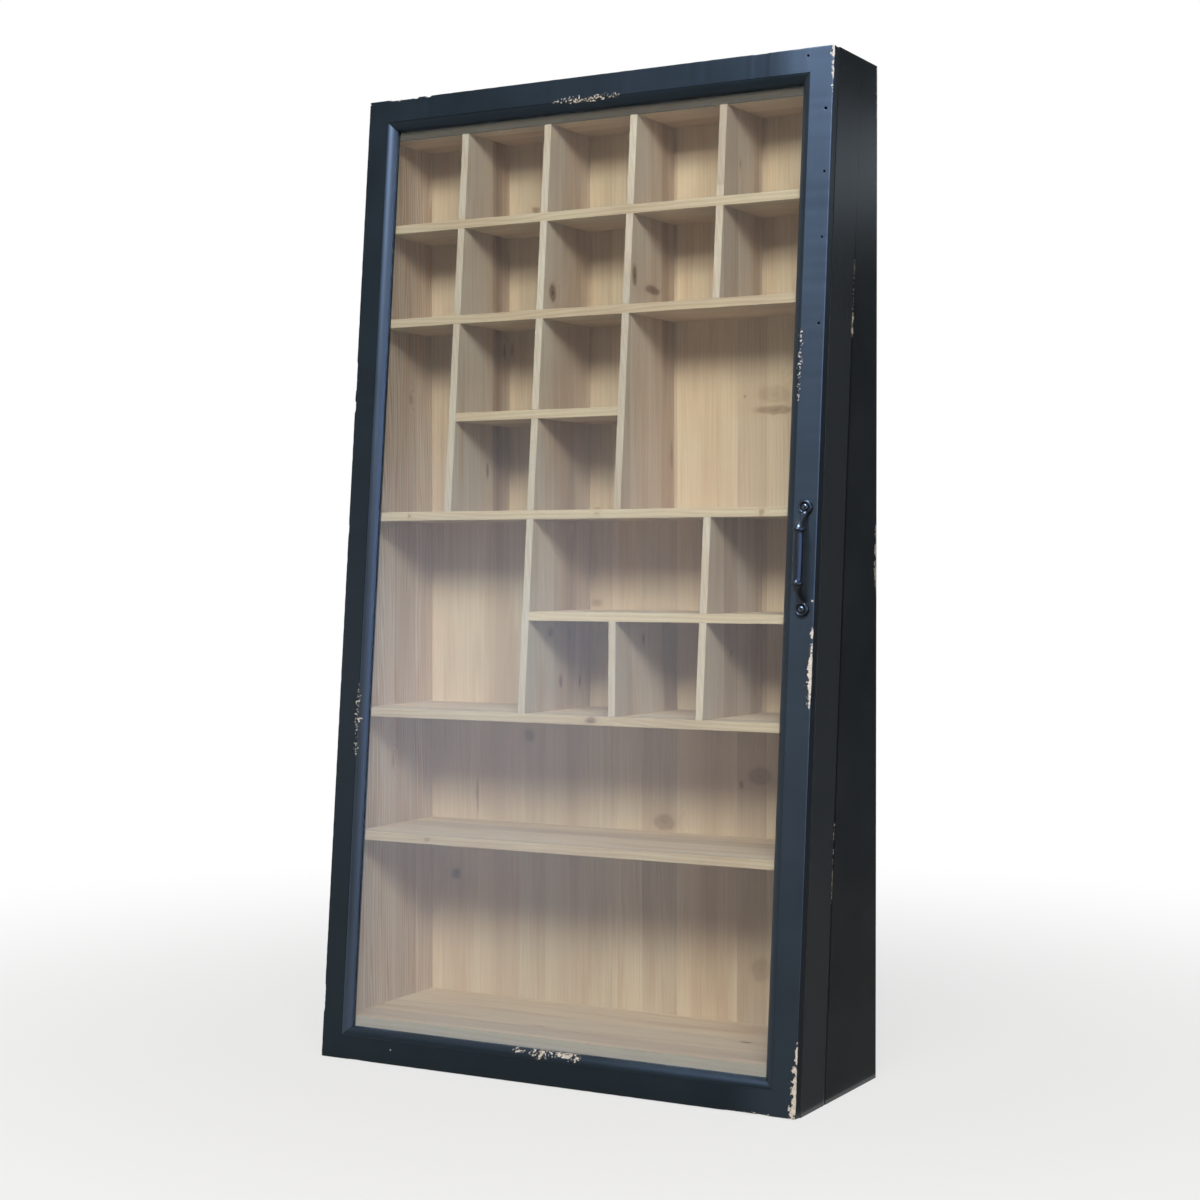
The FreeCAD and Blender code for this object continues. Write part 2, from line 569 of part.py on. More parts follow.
# Sight mouldings: profile in x (towards the opening) and y (into the door), mitred at both ends
MOULDINGS = (
    ("left", f"({DOOR_LENGTH} - 2 * frame_width)", f"-{SIGHT_X}", "frame_width", "0 deg"),
    ("right", f"({DOOR_LENGTH} - 2 * frame_width)", SIGHT_X, f"{DOOR_LENGTH} - frame_width", HALF_TURN),
    ("top", f"(2 * {SIGHT_X})", f"-{SIGHT_X}", f"{DOOR_LENGTH} - frame_width", QUARTER_TURN),
    ("bottom", f"(2 * {SIGHT_X})", SIGHT_X, "frame_width", f"-{QUARTER_TURN}"),
)
ROUND_END_Y = "moulding_step + moulding_radius"
for side, length, x, along, angle in MOULDINGS:
    body = doc.addObject("PartDesign::Body", f"moulding_body_{side}")
    profile = sketch_on(body, f"moulding_profile_{side}", "XY_Plane")
    corners = [("0", "moulding_step"), ("moulding_radius", ROUND_END_Y), (MOULDING_WIDTH, ROUND_END_Y),
               (MOULDING_WIDTH, GLASS_FRONT), ("0", GLASS_FRONT)]
    spots = [FreeCAD.Vector(number(px), number(py), 0) for px, py in corners]
    middle = FreeCAD.Vector(0, number(ROUND_END_Y), 0)
    full = Part.Circle(middle, FreeCAD.Vector(0, 0, 1), number("moulding_radius"))
    start, finish = full.parameter(spots[0]), full.parameter(spots[1])
    arc = profile.addGeometry(Part.ArcOfCircle(full, start, finish + math.tau))
    edges = [profile.addGeometry(Part.LineSegment(spots[i], spots[(i + 1) % len(spots)]))
             for i in range(1, len(spots))]
    profile.addConstraint(Sketcher.Constraint("Coincident", arc, 2, edges[0], 1))
    profile.addConstraint(Sketcher.Constraint("Coincident", edges[3], 2, arc, 1))
    for i in range(3):
        profile.addConstraint(Sketcher.Constraint("Coincident", edges[i], 2, edges[i + 1], 1))
    for i in range(4):
        fix_point(profile, edges[i], 1, *corners[i + 1])
    fix_point(profile, edges[3], 2, *corners[0])
    profile.addConstraint(Sketcher.Constraint("PointOnObject", arc, 3, -2))
    pad(body, profile, length)
    for end, heel, toe in (("low", "0", MOULDING_WIDTH), ("high", length, f"{length} - {MOULDING_WIDTH}")):
        mitre = sketch_on(body, f"moulding_mitre_{side}_{end}", "XZ_Plane")
        outline(mitre, [("0", heel), (MOULDING_WIDTH, toe), (MOULDING_WIDTH, heel)])
        pocket(body, mitre, f"{THROUGH} * {GLASS_FRONT}")
    bind(body, Placement=at(x, 0, along, (Y_AXIS, angle), DOOR))
    keep(body, f"door_moulding_{side}")

# Glass behind the mouldings, and the beads that hold it
PANE_X = f"({SIGHT_X} - glass_play)"
keep(box("pane", (f"2 * {PANE_X}", "glass_thickness", f"{DOOR_LENGTH} - 2 * frame_width - 2 * glass_play"),
         at(f"-{PANE_X}", GLASS_FRONT, "frame_width + glass_play", None, DOOR)), "glass_pane")
BEAD_THICKNESS = f"door_thickness - {GLASS_BACK}"
upright_beads = [
    box(f"bead_{side}", (MOULDING_WIDTH, BEAD_THICKNESS, f"{DOOR_LENGTH} - 2 * frame_width"),
        at(x, GLASS_BACK, "frame_width", None, DOOR))
    for side, x in (("left", f"-{SIGHT_X}"), ("right", f"{SIGHT_X} - {MOULDING_WIDTH}"))]
level_beads = [
    box(f"bead_{end}", (f"2 * ({SIGHT_X} - {MOULDING_WIDTH})", BEAD_THICKNESS, MOULDING_WIDTH),
        at(f"{MOULDING_WIDTH} - {SIGHT_X}", GLASS_BACK, along, None, DOOR))
    for end, along in (("bottom", "frame_width"), ("top", f"{DOOR_LENGTH} - frame_width - {MOULDING_WIDTH}"))]
keep(group("upright_beads", upright_beads), "glazing_beads_upright")
keep(group("level_beads", level_beads), "glazing_beads_level")

# Cast pull: a turned grip on two tapered necks, each ending in a screwed foot with a raised ring
pull = doc.addObject("PartDesign::Body", "pull_body")
grip = sketch_on(pull, "pull_grip", "YZ_Plane")
GRIP_END = "(handle_grip_length / 2)"
COLLAR_END = f"({GRIP_END} + handle_collar_length)"
outline(grip, [("0", f"-{COLLAR_END}"), ("handle_collar_radius", f"-{COLLAR_END}"),
               ("handle_collar_radius", f"-{GRIP_END}"), ("handle_bar_radius", f"-{GRIP_END}"),
               ("handle_bar_radius", GRIP_END), ("handle_collar_radius", GRIP_END),
               ("handle_collar_radius", COLLAR_END), ("0", COLLAR_END)])
revolve(pull, grip)
bind(pull, Placement=at(HANDLE_X, "-handle_stand", HANDLE_Z, None, DOOR))
NECK_FALL = "(handle_stand - handle_eye_thickness)"
NECK_RUN = f"(handle_eye_pitch / 2 - handle_neck_inset - {COLLAR_END})"
NECK_ANGLE = f"atan({NECK_FALL} / {NECK_RUN})"
feet = []
for end, sign, slant in (("low", -1, f"{NECK_ANGLE} - {HALF_TURN}"), ("high", 1, f"-{NECK_ANGLE}")):
    neck_place = at(HANDLE_X, "-handle_stand", f"{HANDLE_Z} + {sign} * {COLLAR_END}", (X_AXIS, slant), DOOR)
    neck = doc.addObject("Part::Cone", f"pull_neck_{end}")
    bind(neck, Radius1="handle_collar_radius", Radius2="handle_neck_radius",
         Height=f"sqrt({NECK_FALL}^2 + {NECK_RUN}^2)", Placement=neck_place)
    shoulder = doc.addObject("Part::Sphere", f"pull_shoulder_{end}")
    bind(shoulder, Radius="handle_collar_radius", Placement=neck_place)
    eye_z = f"{HANDLE_Z} + {sign} * handle_eye_pitch / 2"
    eye = cylinder(f"pull_eye_{end}", "handle_eye_radius", "handle_eye_thickness",
                   at(HANDLE_X, 0, eye_z, OUT_OF_DOOR, DOOR))
    ring = doc.addObject("Part::Torus", f"pull_ring_{end}")
    bind(ring, Radius1="handle_ring_radius", Radius2="handle_ring_bead",
         Placement=at(HANDLE_X, "-handle_eye_thickness", eye_z, OUT_OF_DOOR, DOOR))
    feet += [neck, shoulder, eye, ring]
keep(cut("pull_cut", fuse("pull_casting", [pull] + feet), handle_screws), "door_handle")

doc.recompute()
for thing in doc.Objects:
    if "Invalid" in thing.State or "Error" in thing.State:
        raise RuntimeError(f"{thing.Name} failed: {thing.State}")
for node in NODES:
    if node.Shape.isNull() or not node.Shape.isValid():
        raise RuntimeError(f"{node.Label} has no valid shape")
os.makedirs("parts", exist_ok=True)
for node in NODES:
    node.Shape.exportStep(f"parts/{node.Label}.step")
print(len(NODES), "sub-parts written")
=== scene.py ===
import json
import math
from functools import partial

import bmesh
import bpy
from mathutils import Matrix, Vector, noise


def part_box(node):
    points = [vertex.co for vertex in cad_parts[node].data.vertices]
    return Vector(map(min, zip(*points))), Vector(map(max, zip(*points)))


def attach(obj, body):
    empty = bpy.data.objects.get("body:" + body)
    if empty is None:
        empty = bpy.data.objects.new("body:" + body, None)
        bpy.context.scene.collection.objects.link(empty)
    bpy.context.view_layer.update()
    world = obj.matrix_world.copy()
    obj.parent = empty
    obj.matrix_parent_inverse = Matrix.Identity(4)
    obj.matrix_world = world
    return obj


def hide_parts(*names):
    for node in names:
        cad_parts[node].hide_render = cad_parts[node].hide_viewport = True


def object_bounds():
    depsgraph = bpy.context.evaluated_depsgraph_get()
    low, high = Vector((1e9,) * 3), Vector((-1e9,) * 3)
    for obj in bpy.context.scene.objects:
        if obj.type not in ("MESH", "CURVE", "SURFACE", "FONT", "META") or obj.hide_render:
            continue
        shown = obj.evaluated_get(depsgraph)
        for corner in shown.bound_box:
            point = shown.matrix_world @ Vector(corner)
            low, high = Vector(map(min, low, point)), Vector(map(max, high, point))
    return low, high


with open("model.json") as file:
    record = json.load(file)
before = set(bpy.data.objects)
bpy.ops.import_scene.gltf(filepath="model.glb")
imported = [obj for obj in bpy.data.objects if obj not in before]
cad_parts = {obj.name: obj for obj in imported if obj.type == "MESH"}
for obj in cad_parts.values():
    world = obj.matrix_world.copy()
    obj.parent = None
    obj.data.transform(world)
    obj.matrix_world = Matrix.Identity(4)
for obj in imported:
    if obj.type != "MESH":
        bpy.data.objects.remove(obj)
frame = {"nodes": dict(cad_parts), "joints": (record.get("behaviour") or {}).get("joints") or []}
CAD_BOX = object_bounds()

bl_info = {
    "name": "Slanted Wall Display Cabinet",
    "version": (1, 0, 0),
    "blender": (4, 5, 0),
    "location": "View3D > Sidebar > Cabinet",
    "description": "Worn paint, bare fir, glass, cast pull and studio stage for a wall display cabinet",
    "category": "Object",
}

MM = 0.001
NODES = frame["nodes"]
X, Y, Z = 0, 1, 2

# Settings that many nodes share: a mix of colours, and a range with soft ends
TINTED = {"out": 2, "data_type": "RGBA"}
SMOOTH = {"interpolation_type": "SMOOTHSTEP"}

# The door's own frame: x to the right, y into the door from its face, z up the slope from its lower end
HINGE_AXIS = Vector(frame["joints"][0]["axis"])
TILT = math.atan2(-HINGE_AXIS.y, -HINGE_AXIS.z)
STILE_LOW, STILE_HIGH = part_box("door_stile_left")
HALF = -STILE_LOW.x
SIGHT = -STILE_HIGH.x
DOOR_THICKNESS = 12 * MM
DOOR_FOOT = Vector((0, STILE_LOW.y, DOOR_THICKNESS * math.sin(TILT)))
DOOR_LENGTH = (STILE_HIGH.z - DOOR_FOOT.z) / math.cos(TILT)
DOOR = Matrix.Translation(DOOR_FOOT) @ Matrix.Rotation(-TILT, 4, "X")
FRAME_WIDTH = HALF - SIGHT

# The case: bare inner walls, and the joint between the two staves of a side, which leans with the door
INNER_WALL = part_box("side_right_front_stave")[0].x
SEAM_FOOT = -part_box("side_right_rear_stave")[0].y
SLOPE = math.tan(TILT)
HEIGHT = CAD_BOX[1][2]

# The pull, in the door's frame
PULL_X = HALF - FRAME_WIDTH / 2
PULL_Z = DOOR_LENGTH / 2 + 14 * MM


def linear(hex_text):
    """Scene colour of an sRGB hex value."""
    channels = [int(hex_text[i:i + 2], 16) / 255 for i in (1, 3, 5)]
    return tuple(c / 12.92 if c <= 0.04045 else ((c + 0.055) / 1.055) ** 2.4 for c in channels)


def opaque(colour):
    """Colour with full alpha, for a node's colour socket."""
    return (*colour[:3], 1.0)


def tint(name, description, hex_text):
    """Colour setting; its default is an sRGB hex value."""
    return bpy.props.FloatVectorProperty(name=name, description=description, subtype="COLOR",
                                         default=linear(hex_text))


def number(name, description, default, **more):
    """Setting with one value."""
    return bpy.props.FloatProperty(name=name, description=description, default=default, **more)


def span(name, description, millimetres):
    """Length setting; its default is in millimetres."""
    return number(name, description, millimetres * MM, unit="LENGTH")


def add_node(tree, kind, feeds=(), operation=None, out=0, stops=None, **settings):
    """Add a shader node, set it up, feed its sockets with values or other sockets, and return one output.

    Feeds go by socket in a dict, or in the order of the sockets in a tuple. The order of a MapRange is value,
    from low, from high, to low, to high.
    """
    fresh = tree.nodes.new("ShaderNode" + kind)
    if operation:
        fresh.operation = operation
    for key, value in settings.items():
        setattr(fresh, key, value)
    if stops:
        elements = fresh.color_ramp.elements
        elements.remove(elements[1])
        for index, (place, shade) in enumerate(stops):
            element = elements.new(place) if index else elements[0]
            element.position = place
            element.color = opaque(shade if isinstance(shade, tuple) else (shade,) * 3)
    pairs = feeds.items() if isinstance(feeds, dict) else enumerate(feeds)
    for socket, feed in pairs:
        if isinstance(feed, bpy.types.NodeSocket):
            tree.links.new(feed, fresh.inputs[socket])
        else:
            fresh.inputs[socket].default_value = feed
    return fresh.outputs[out]


class CabinetFinish(bpy.types.PropertyGroup):
    """Colours and finishes of the cabinet."""

    paint: tint("Paint", "Satin black paint", "#111617")
    paint_rubbed: tint("Rubbed Paint", "The paint where hands have dulled it", "#1b2428")
    paint_dusty: tint("Dusty Paint", "The paint of the case, greyed by dust and handling", "#383c40")
    chip: tint("Chipped Wood", "Pale wood where paint has come off", "#d3c8b6")
    chip_dull: tint("Dull Chip", "Older, dirtier bare wood in a chip", "#8d8579")
    early_wood: tint("Early Wood", "Pale part of a year ring of the bare fir", "#d9c6ad")
    late_wood: tint("Late Wood", "Dark part of a year ring of the bare fir", "#bc9c80")
    grey_wood: tint("Grey Wood", "Pale wood of the dividers and side walls", "#d5c9be")
    pink_wood: tint("Pink Wood", "Reddish strips among the fir", "#c4a593")
    knot: tint("Knot", "Heart of a knot", "#6b4a38")
    iron: tint("Iron", "Blacked cast iron of the pull", "#0d0f11")
    steel: tint("Steel", "Zinc plated steel of hinges, screws and hangers", "#8f9192")
    ring_pitch: span("Ring Pitch", "Distance between year rings of the fir", 3.6)
    strip_width: span("Strip Width", "Usual width of the glued strips of a board", 36)


class CabinetEdges(bpy.types.PropertyGroup):
    """How far edges are eased and worn."""

    board_ease: span("Board Arris", "Easing of the bare boards", 0.5)
    case_ease: span("Case Arris", "Easing of the painted case", 0.8)
    frame_ease: span("Frame Arris", "Easing of the door's stiles and rails", 1.0)
    frame_wear: span("Frame Wear", "How uneven the arrises of the door are", 0.35)
    frame_step: span("Frame Step", "Spacing of the cuts along a stile or rail", 2.0)
    moulding_radius: span("Moulding Radius", "Quarter round beside the glass", 6.5)
    moulding_step: span("Moulding Step", "Moulding below the face of the frame", 0.5)
    lip_width: span("Lip Width", "Flat lip at the sight edge", 3.0)
    lip_thickness: span("Lip Thickness", "Lip in front of the glass", 1.0)


class CabinetStage(bpy.types.PropertyGroup):
    """Camera, light and floor."""

    camera_place: bpy.props.FloatVectorProperty(
        name="Camera Place", description="Where the camera stands", subtype="TRANSLATION", unit="LENGTH",
        default=(1.08326, -2.08096, 0.51088))
    camera_turn: number("Camera Turn", "Turn of the camera to the left", 0.52675, subtype="ANGLE")
    camera_dip: number("Camera Dip", "Camera below the horizon", 0.00994, subtype="ANGLE")
    lens: number("Lens", "Focal length on a 36 mm sensor, in millimetres", 66.70)
    shift: bpy.props.FloatVectorProperty(
        name="Shift", description="Framing shift of the lens", size=2, default=(0.0548, -0.0110))
    dome: number("Dome", "Light from all round", 0.13)
    key: number("Key", "Power of the soft lamp in front and above, in watts", 116.0)
    floor: tint("Floor", "Pale floor", "#b4b3b1")


def knot_masks(add, first, second, knots):
    """Distance to the nearest knot in knot radii, and how dark the wood is; knots are in millimetres."""
    plane = add("CombineXYZ", (first, second))
    waver = add("TexNoise", {"Vector": plane, "Scale": 1 / (11 * MM), "Detail": 3.0}, out="Color")
    shake = add("VectorMath", (waver, (-0.5,) * 3), "ADD")
    plane = add("VectorMath", (shake, (4 * MM, 7 * MM, 0), plane), "MULTIPLY_ADD")
    nearest = heart = None
    for place_first, place_second, half_width, half_length, depth in knots:
        centre = (place_first * MM, place_second * MM, 0)
        offset = add("VectorMath", (plane, centre), "SUBTRACT")
        radii = (1 / (half_width * MM), 1 / (half_length * MM), 0)
        scaled = add("VectorMath", (offset, radii), "MULTIPLY")
        distance = add("VectorMath", (scaled,), "LENGTH", out="Value")
        dark = add("MapRange", (distance, 1.3, 0.4, 0, depth), **SMOOTH)
        if nearest is None:
            nearest, heart = distance, dark
        else:
            nearest = add("Math", (nearest, distance), "MINIMUM")
            heart = add("Math", (heart, dark), "MAXIMUM")
    return nearest, heart


def fir_figure(add, finish, axes, along, across, seed, knots=(), knot_axes=None, lines=0.3,
               early=None):
    """Colour, roughness and height of planed fir: glued strips, year rings, fine streaks and knots."""
    through = 3 - along - across
    # Glued strips of unequal width, each with its own tone
    strip_at = add("Math", (axes[across], 1 / finish.strip_width, seed), "MULTIPLY_ADD")
    strip = add("TexVoronoi", {"W": strip_at, "Scale": 1.0, "Randomness": 0.8}, out="Color",
                voronoi_dimensions="1D")
    tone, hue, depth = add("SeparateColor", (strip,)).node.outputs
    joint = add("TexVoronoi", {"W": strip_at, "Scale": 1.0, "Randomness": 0.8}, out="Distance",
                voronoi_dimensions="1D", feature="DISTANCE_TO_EDGE")
    joint = add("MapRange", (joint, 0, 0.02, 0.95, 1.0))
    slice_at = add("Math", (depth, 40.0, axes[through]), "MULTIPLY_ADD")
    place = add("CombineXYZ", (axes[across], axes[along], slice_at))
    # Year rings: stretched lines, bent by the tree's growth and round knots, slanting through the board
    growth_scale = (1 / (30 * MM), 1 / (420 * MM), 1.0)
    growth_at = add("VectorMath", (place, growth_scale), "MULTIPLY")
    growth = add("TexNoise", {"Vector": growth_at, "Scale": 1.0, "Detail": 3.0})
    rings = add("Math", (growth, 9.0), "MULTIPLY")
    rings = add("Math", (axes[across], 1 / finish.ring_pitch, rings), "MULTIPLY_ADD")
    rings = add("Math", (axes[through], 0.7 / finish.ring_pitch, rings), "MULTIPLY_ADD")
    if knots:
        first, second = knot_axes or (across, along)
        nearest, heart = knot_masks(add, axes[first], axes[second], knots)
        halo = add("MapRange", (nearest, 3.0, 0.7), **SMOOTH)
        rings = add("Math", (halo, 2.4, rings), "MULTIPLY_ADD")
    wave = add("Math", (rings, math.tau), "MULTIPLY")
    wave = add("Math", (wave,), "SINE")
    line = add("MapRange", (wave, -0.7, 1.0, 0, lines), **SMOOTH)
    # Fine streaks along the grain, drawn about twice as coarse as wood fibres so that they show
    streak_scale = (1 / (2.2 * MM), 1 / (150 * MM), 1 / (2 * MM))
    streak_at = add("VectorMath", (place, streak_scale), "MULTIPLY")
    streak = add("TexNoise", {"Vector": streak_at, "Scale": 1.0, "Detail": 3.0, "Roughness": 0.55})
    stain_scale = (1 / (22 * MM), 1 / (190 * MM), 1.0)
    stain_at = add("VectorMath", (place, stain_scale), "MULTIPLY")
    stain = add("TexNoise", {"Vector": stain_at, "Scale": 1.0, "Detail": 3.0})
    fibre = add("MapRange", (streak, 0.3, 0.75, 0, 0.34))
    dark = add("Math", (fibre, line), "ADD")
    broad = add("MapRange", (stain, 0.42, 0.75, 0, 0.45), **SMOOTH)
    dark = add("Math", (dark, broad), "ADD", use_clamp=True)
    colour = add("Mix", {0: dark, 6: opaque(early or finish.early_wood), 7: opaque(finish.late_wood)},
                 **TINTED)
    blush = add("MapRange", (hue, 0.5, 1.0, 0, 0.55))
    colour = add("Mix", {0: blush, 6: colour, 7: opaque(finish.pink_wood)}, **TINTED)
    bright = add("MapRange", (tone, 0, 1, 0.9, 1.07))
    bright = add("Math", (bright, joint), "MULTIPLY")
    colour = add("HueSaturation", {"Value": bright, "Color": colour})
    if knots:
        year = add("Math", (nearest, 11.0), "MULTIPLY")
        year = add("Math", (year,), "SINE")
        year = add("MapRange", (year, -1.0, 1, 0.7, 1.0))
        heart = add("Math", (heart, year), "MULTIPLY")
        warm = add("Math", (halo, 0.3), "MULTIPLY")
        colour = add("Mix", {0: warm, 6: colour, 7: opaque(finish.late_wood)}, **TINTED)
        colour = add("Mix", {0: heart, 6: colour, 7: opaque(finish.knot)}, **TINTED)
    rough = add("MapRange", (streak, 0, 1, 0.62, 0.85))
    height = add("Math", (streak, line), "ADD")
    return colour, rough, height


def paint_figure(add, finish, axes, run, worn, rough_low, rough_high):
    """Colour, roughness and height of satin paint brushed along a board and worn to a second colour."""
    stretch = [1 / (3 * MM)] * 3
    stretch[run] = 1 / (160 * MM)
    place = add("CombineXYZ", axes)
    brush_at = add("VectorMath", (place, tuple(stretch)), "MULTIPLY")
    brush = add("TexNoise", {"Vector": brush_at, "Scale": 1.0, "Detail": 3.0, "Roughness": 0.6})
    cloud = add("TexNoise", {"Vector": place, "Scale": 1 / (90 * MM), "Detail": 4.0})
    rubbed = add("Math", (cloud, 1.0, -0.15), "MULTIPLY_ADD")
    rubbed = add("Math", (brush, 0.15, rubbed), "MULTIPLY_ADD", use_clamp=True)
    colour = add("Mix", {0: rubbed, 6: opaque(finish.paint), 7: opaque(worn)}, **TINTED)
    rough = add("MapRange", (rubbed, 0, 1, rough_low, rough_high))
    return colour, rough, brush


def chipped(add, axes, distance, run, length, stops, flakes):
    """Where paint is off along an arris; stops give the bare width, in centimetres, along its run."""
    place = add("CombineXYZ", axes)
    start, extent = length
    shares = [((at * MM - start) / extent, size) for at, size in stops]
    share = add("Math", (axes[run], 1 / extent, -start / extent), "MULTIPLY_ADD")
    width = add("ValToRGB", (share,), stops=shares)
    jag = add("TexNoise", {"Vector": place, "Scale": 1 / (6 * MM), "Detail": 2.0})
    jag = add("MapRange", (jag, 0.3, 0.65, 4 * MM, 13 * MM))
    reach = add("Math", (width, jag), "MULTIPLY")
    # Flakes of paint left standing break up the outline
    flake = add("TexNoise", {"Vector": place, "Scale": 1 / (2.2 * MM), "Detail": 3.0, "Roughness": 0.6})
    flake = add("MapRange", (flake, 0.41, 0.52, 0.0, flakes))
    inside = add("Math", (reach, distance), "SUBTRACT")
    inside = add("Math", (inside, flake), "SUBTRACT")
    return add("MapRange", (inside, 0, 0.3 * MM))


def dots(add, axes, first, second, places):
    """Mask of round spots; each is two coordinates and a radius in millimetres."""
    plane = add("CombineXYZ", (axes[first], axes[second]))
    mask = None
    for one, two, radius in places:
        gap = add("VectorMath", (plane, (one * MM, two * MM, 0)), "DISTANCE", out="Value")
        spot = add("MapRange", (gap, radius * MM, 0.6 * radius * MM))
        mask = spot if mask is None else add("Math", (mask, spot), "MAXIMUM")
    return mask


def fresh_material(name):
    """New material, the function that adds nodes to it, its output and its object's coordinates."""
    material = bpy.data.materials.new(name)
    material.use_nodes = True
    tree = material.node_tree
    tree.nodes.clear()
    output = tree.nodes.new("ShaderNodeOutputMaterial")
    add = partial(add_node, tree)
    return material, add, output, add("TexCoord", out="Object")


def seen_directly(add):
    """One for rays of the eye, of gloss and through glass; nought for those that only carry light."""
    ray = add("LightPath").node.outputs
    seen = add("Math", (ray["Is Camera Ray"], ray["Is Glossy Ray"]), "MAXIMUM")
    return add("Math", (seen, ray["Is Transmission Ray"]), "MAXIMUM")


def close_material(add, output, colour, rough, height, bump, constants):
    """Principled surface from colour, roughness and height."""
    normal = add("Bump", {"Height": height, "Strength": bump, "Distance": 0.4 * MM}, out="Normal")
    shader = add("BsdfPrincipled", {"Base Color": colour, "Roughness": rough, "Normal": normal,
                                    **constants})
    output.id_data.links.new(shader, output.inputs["Surface"])


def bare_fir(name, finish, along, across, seed, knots=(), knot_axes=None, lines=0.3, edge_band=None,
             early=None):
    """Planed, unfinished fir: pale and matt, with a little bump along the grain.

    A band along an edge is an axis, where it starts and ends along it, its colour and how much it covers;
    on the ceiling board it stands for painted shade.
    """
    material, add, output, place = fresh_material(name)
    axes = add("SeparateXYZ", (place,)).node.outputs
    colour, rough, height = fir_figure(add, finish, axes, along, across, seed, knots, knot_axes, lines,
                                       early)
    # Band of another colour along an edge; on the ceiling board it is painted shade of the door's top rail
    if edge_band:
        axis, start, end, shade, cover = edge_band
        share = add("MapRange", (axes[axis], start, end, 0, cover))
        colour = add("Mix", {0: share, 6: colour, 7: opaque(shade)}, **TINTED)
    close_material(add, output, colour, rough, height, 0.08, {"Specular IOR Level": 0.05})
    return material


def chipped_paint(add, finish, colour, rough, height, bare, holes):
    """Lay bare wood into chips and dark holes into a painted surface."""
    if bare is not None:
        place = add("TexCoord", out="Object")
        patch = add("TexNoise", {"Vector": place, "Scale": 1 / (3 * MM), "Detail": 3.0})
        patch = add("MapRange", (patch, 0.4, 0.7, 0, 0.5))
        wood = add("Mix", {0: patch, 6: opaque(finish.chip), 7: opaque(finish.chip_dull)}, **TINTED)
        colour = add("Mix", {0: bare, 6: colour, 7: wood}, **TINTED)
        rough = add("Mix", {0: bare, 2: rough, 3: 0.75})
        height = add("Math", (bare, -1.6, height), "MULTIPLY_ADD")
    if holes is not None:
        colour = add("Mix", {0: holes, 6: colour, 7: (0.002, 0.002, 0.003, 1)}, **TINTED)
        height = add("Math", (holes, -3.0, height), "MULTIPLY_ADD")
    return colour, rough, height


def painted_bar(name, finish, run, arrises, flecks=(), holes=(), gloss=None):
    """Brushed satin paint on a bar of the door: faint brush lines, dull where rubbed, chipped to pale wood.

    An arris is its place across the run, how fast chips end with depth, its flakes and its stops. Without a
    gloss of its own, a bar shines more to the right and less near its foot.
    """
    material, add, output, place = fresh_material(name)
    local = add("Mapping", {"Vector": place, "Location": DOOR_FOOT, "Rotation": (-TILT, 0, 0)},
                vector_type="TEXTURE")
    axes = add("SeparateXYZ", (local,)).node.outputs
    across = X + Z - run
    colour, rough, height = paint_figure(add, finish, axes, run, finish.paint_rubbed, 0.34, 0.46)
    bare = dots(add, axes, X, Z, flecks) if flecks else None
    for line, lean, flake, stops in arrises:
        off = add("Math", (axes[across], line), "SUBTRACT")
        off = add("Math", (off,), "ABSOLUTE")
        distance = add("Math", (axes[Y], lean, off), "MULTIPLY_ADD")
        length = (0.0, DOOR_LENGTH) if run == Z else (-HALF, 2 * HALF)
        mask = chipped(add, axes, distance, run, length, stops, flake)
        bare = mask if bare is None else add("Math", (bare, mask), "MAXIMUM")
    pits = dots(add, axes, X, Z, holes) if holes else None
    colour, rough, height = chipped_paint(add, finish, colour, rough, height, bare, pits)
    if gloss is None:
        gloss = add("MapRange", (axes[X], 190 * MM, SIGHT, 0.15, 0.42), **SMOOTH)
        low = add("MapRange", (axes[Z], 0, 400 * MM, 0.65))
        gloss = add("Math", (gloss, low), "MULTIPLY")
    if pits is not None:
        gloss = add("Mix", {0: pits, 2: gloss, 3: 0.0})
    close_material(add, output, colour, rough, height, 0.12, {"Specular IOR Level": gloss})
    return material


